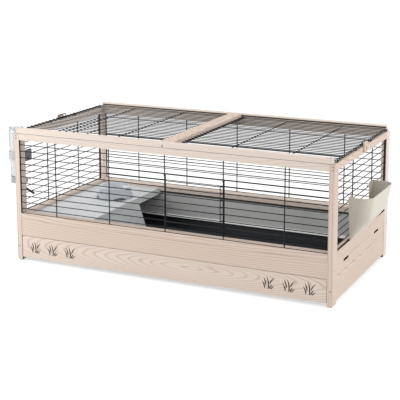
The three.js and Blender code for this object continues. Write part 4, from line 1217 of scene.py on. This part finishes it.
class CAGE_OT_bottle(bpy.types.Operator):
    """Draws the drinking bottle with its cap, tube, holder and clip"""

    bl_idname = "cage.bottle"
    bl_label = "Drinking bottle"

    def execute(self, context):
        tint = context.scene.cage_colours.clip
        blue = moulded("clip_plastic", tint, gloss=0.32, sparkle=0.6)
        self.add_body()
        self.add_cap(blue)
        self.add_tube()
        smoky = see_through("smoky_plastic", (0.50, 0.52, 0.54), (0.16, 0.17, 0.18), 0.25)
        dark = moulded("dark_clip_plastic", shaded(tint, 0.28)[:3], gloss=0.24, sparkle=0.8, scuff=0.9)
        for node, finish in (("bottle_holder", smoky), ("bottle_catch", blue), ("bottle_clip", dark)):
            dress(node, finish, HOLDER_EDGE)
        return {"FINISHED"}

    def add_body(self):
        centre, radius, tall = round_box("bottle_body")
        outer = [(BOTTLE_FOOT - BOTTLE_FOOT_EDGE, 0)]
        rise = tall - BOTTLE_FOOT_EDGE - NECK[0][1] * MM
        for step in range(BOTTLE_STEPS):
            share = step / BOTTLE_STEPS
            away = BOTTLE_FOOT + (radius - BOTTLE_FOOT) * share
            outer.append((away, BOTTLE_FOOT_EDGE + rise * share))
        outer += [(radius - inward * MM, tall - down * MM) for inward, down in NECK]
        recess = tall - BOTTLE_RECESS
        end = [(radius - BOTTLE_RIM, tall), (radius - BOTTLE_RIM, recess), (0, recess)]
        inner = [(away - BOTTLE_WALL, z) for away, z in reversed(outer[:-NECK_RIM_POINTS])]
        mesh = bmesh.new()
        add_lathe(mesh, [(0, 0)] + outer + end, centre, BOTTLE_SIDES)
        add_lathe(mesh, [(0, tall - BOTTLE_CEILING)] + inner + [(0, BOTTLE_WALL)], centre, BOTTLE_SIDES)
        clear = see_through("clear_plastic", (0.90, 0.92, 0.93), (0.22, 0.23, 0.24), 0.60)
        new_piece("bottle_shell", mesh, clear, "cage", ["bottle_body"])

    def add_cap(self, finish):
        centre, radius, tall = round_box("bottle_cap")
        count = CAP_RIBS * POINTS_PER_RIB

        def ring(inset, height, ribbed=False):
            points = []
            for i in range(count):
                turn = 2 * math.pi * i / count
                in_groove = ribbed and i % POINTS_PER_RIB > 1
                away = radius - inset - (RIB_DEPTH if in_groove else 0)
                points.append(centre + Vector((away * math.cos(turn), away * math.sin(turn), height)))
            return points

        mesh = bmesh.new()
        add_skin(mesh, [ring(5 * MM, 0), ring(1.5 * MM, 1 * MM),
                        ring(0, 3 * MM, True), ring(0, tall - 5 * MM, True),
                        ring(0, tall - 4 * MM), ring(0, tall - 1 * MM), ring(1 * MM, tall)])
        new_piece("bottle_cap_ribbed", mesh, finish, "cage", ["bottle_cap"], smooth=False)

    def add_tube(self):
        low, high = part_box("bottle_tube")
        middle_y = (low.y + high.y) / 2
        top = Vector((low.x + TUBE_RADIUS, middle_y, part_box("bottle_cap")[0].z + TUBE_IN_CAP))
        end = Vector((high.x - TUBE_END[0], middle_y, low.z + TUBE_END[1]))
        knee = Vector((top.x, middle_y, end.z + TUBE_SLOPE * (end.x - top.x)))
        mesh = bmesh.new()
        add_wire(mesh, rounded_path((top, knee, end), TUBE_BEND), TUBE_RADIUS, TUBE_SIDES)
        new_piece("drinking_tube", mesh, drawn_steel(), "cage", ["bottle_tube"])


# Hay feeder

class CAGE_OT_feeder(bpy.types.Operator):
    """Finishes the hay feeder"""

    bl_idname = "cage.feeder"
    bl_label = "Hay feeder"

    def execute(self, context):
        scene = context.scene
        beige = moulded("feeder_plastic", scene.cage_colours.feeder, gloss=0.27)
        dress("hay_feeder", beige, scene.cage_sizes.moulded_edge, segments=3, angle=25)
        return {"FINISHED"}


# Studio

FLOOR_HALF = 30


def add_light(name, place, target, size, power):
    light = bpy.data.lights.new(name, "AREA")
    light.shape = "RECTANGLE"
    light.size, light.size_y = size
    light.energy = power
    lamp = new_object(name, light)
    lamp.location = place
    lamp.rotation_euler = (Vector(target) - Vector(place)).to_track_quat("-Z", "Y").to_euler()
    lamp.visible_camera = False


def add_camera(look):
    data = bpy.data.cameras.new("studio_camera")
    camera = new_object("studio_camera", data)
    data.sensor_width = 36.0
    data.lens = look.focal_pixels / look.picture_width * data.sensor_width
    data.shift_x = -look.centre_side / look.picture_width
    data.shift_y = -look.centre_rise / look.picture_width
    data.clip_end = 60.0
    camera.location = Vector(look.camera_place) + Vector((MIDDLE_X, 0, 0))
    camera.rotation_euler = (math.pi / 2 - look.camera_drop, 0, look.camera_turn)
    bpy.context.scene.camera = camera


class CAGE_OT_studio(bpy.types.Operator):
    """Sets up the pale floor, the soft lights and the camera"""

    bl_idname = "cage.studio"
    bl_label = "Studio"

    def execute(self, context):
        scene = context.scene
        look = scene.cage_studio
        mesh = bmesh.new()
        bmesh.ops.create_grid(mesh, x_segments=1, y_segments=1, size=FLOOR_HALF)
        mesh_object("studio_floor", mesh, studio_floor())
        add_light("key", (-1.7, -1.3, 1.0), (-0.5, -0.2, 0.3), (1.0, 0.9), look.key_power)
        add_light("fill", (3.4, 0.1, 1.7), (0.6, 0, 0.2), (2.2, 2.0), look.fill_power)
        add_light("top", (0.2, 0.4, 3.4), (0, 0, 0.2), (3.0, 2.4), look.top_power)
        world = bpy.data.worlds.new("even_sky")
        world.use_nodes = True
        sky = world.node_tree.nodes["Background"]
        sky.inputs["Color"].default_value = (1.0, 1.0, 1.0, 1.0)
        sky.inputs["Strength"].default_value = look.sky
        scene.world = world
        scene.view_settings.view_transform = "Standard"
        add_camera(look)
        return {"FINISHED"}


class CAGE_PT_panel(bpy.types.Panel):
    """The cage's steps and settings in the sidebar"""

    bl_label = "Small animal cage"
    bl_space_type = "VIEW_3D"
    bl_region_type = "UI"
    bl_category = "Cage"

    def draw(self, context):
        layout = self.layout
        for step in STEPS:
            layout.operator(step.bl_idname)
        for settings in (context.scene.cage_sizes, context.scene.cage_colours, context.scene.cage_studio):
            column = layout.column()
            for name in settings.__annotations__:
                column.prop(settings, name)


SETTINGS = {"cage_sizes": CageSizes, "cage_colours": CageColours, "cage_studio": StudioLook}
STEPS = (
    CAGE_OT_woodwork, CAGE_OT_screws, CAGE_OT_grids, CAGE_OT_front_door, CAGE_OT_roof_lids,
    CAGE_OT_turn_buttons, CAGE_OT_liners, CAGE_OT_drawer, CAGE_OT_hutch, CAGE_OT_bowl,
    CAGE_OT_bottle, CAGE_OT_feeder, CAGE_OT_studio,
)


def register():
    for group in (*SETTINGS.values(), *STEPS, CAGE_PT_panel):
        bpy.utils.register_class(group)
    for name, group in SETTINGS.items():
        setattr(bpy.types.Scene, name, bpy.props.PointerProperty(type=group))


def unregister():
    for name in SETTINGS:
        delattr(bpy.types.Scene, name)
    for group in reversed((*SETTINGS.values(), *STEPS, CAGE_PT_panel)):
        bpy.utils.unregister_class(group)


def main():
    register()
    for step in STEPS:
        family, name = step.bl_idname.split(".")
        getattr(getattr(bpy.ops, family), name)()


if __name__ == "__main__":
    main()
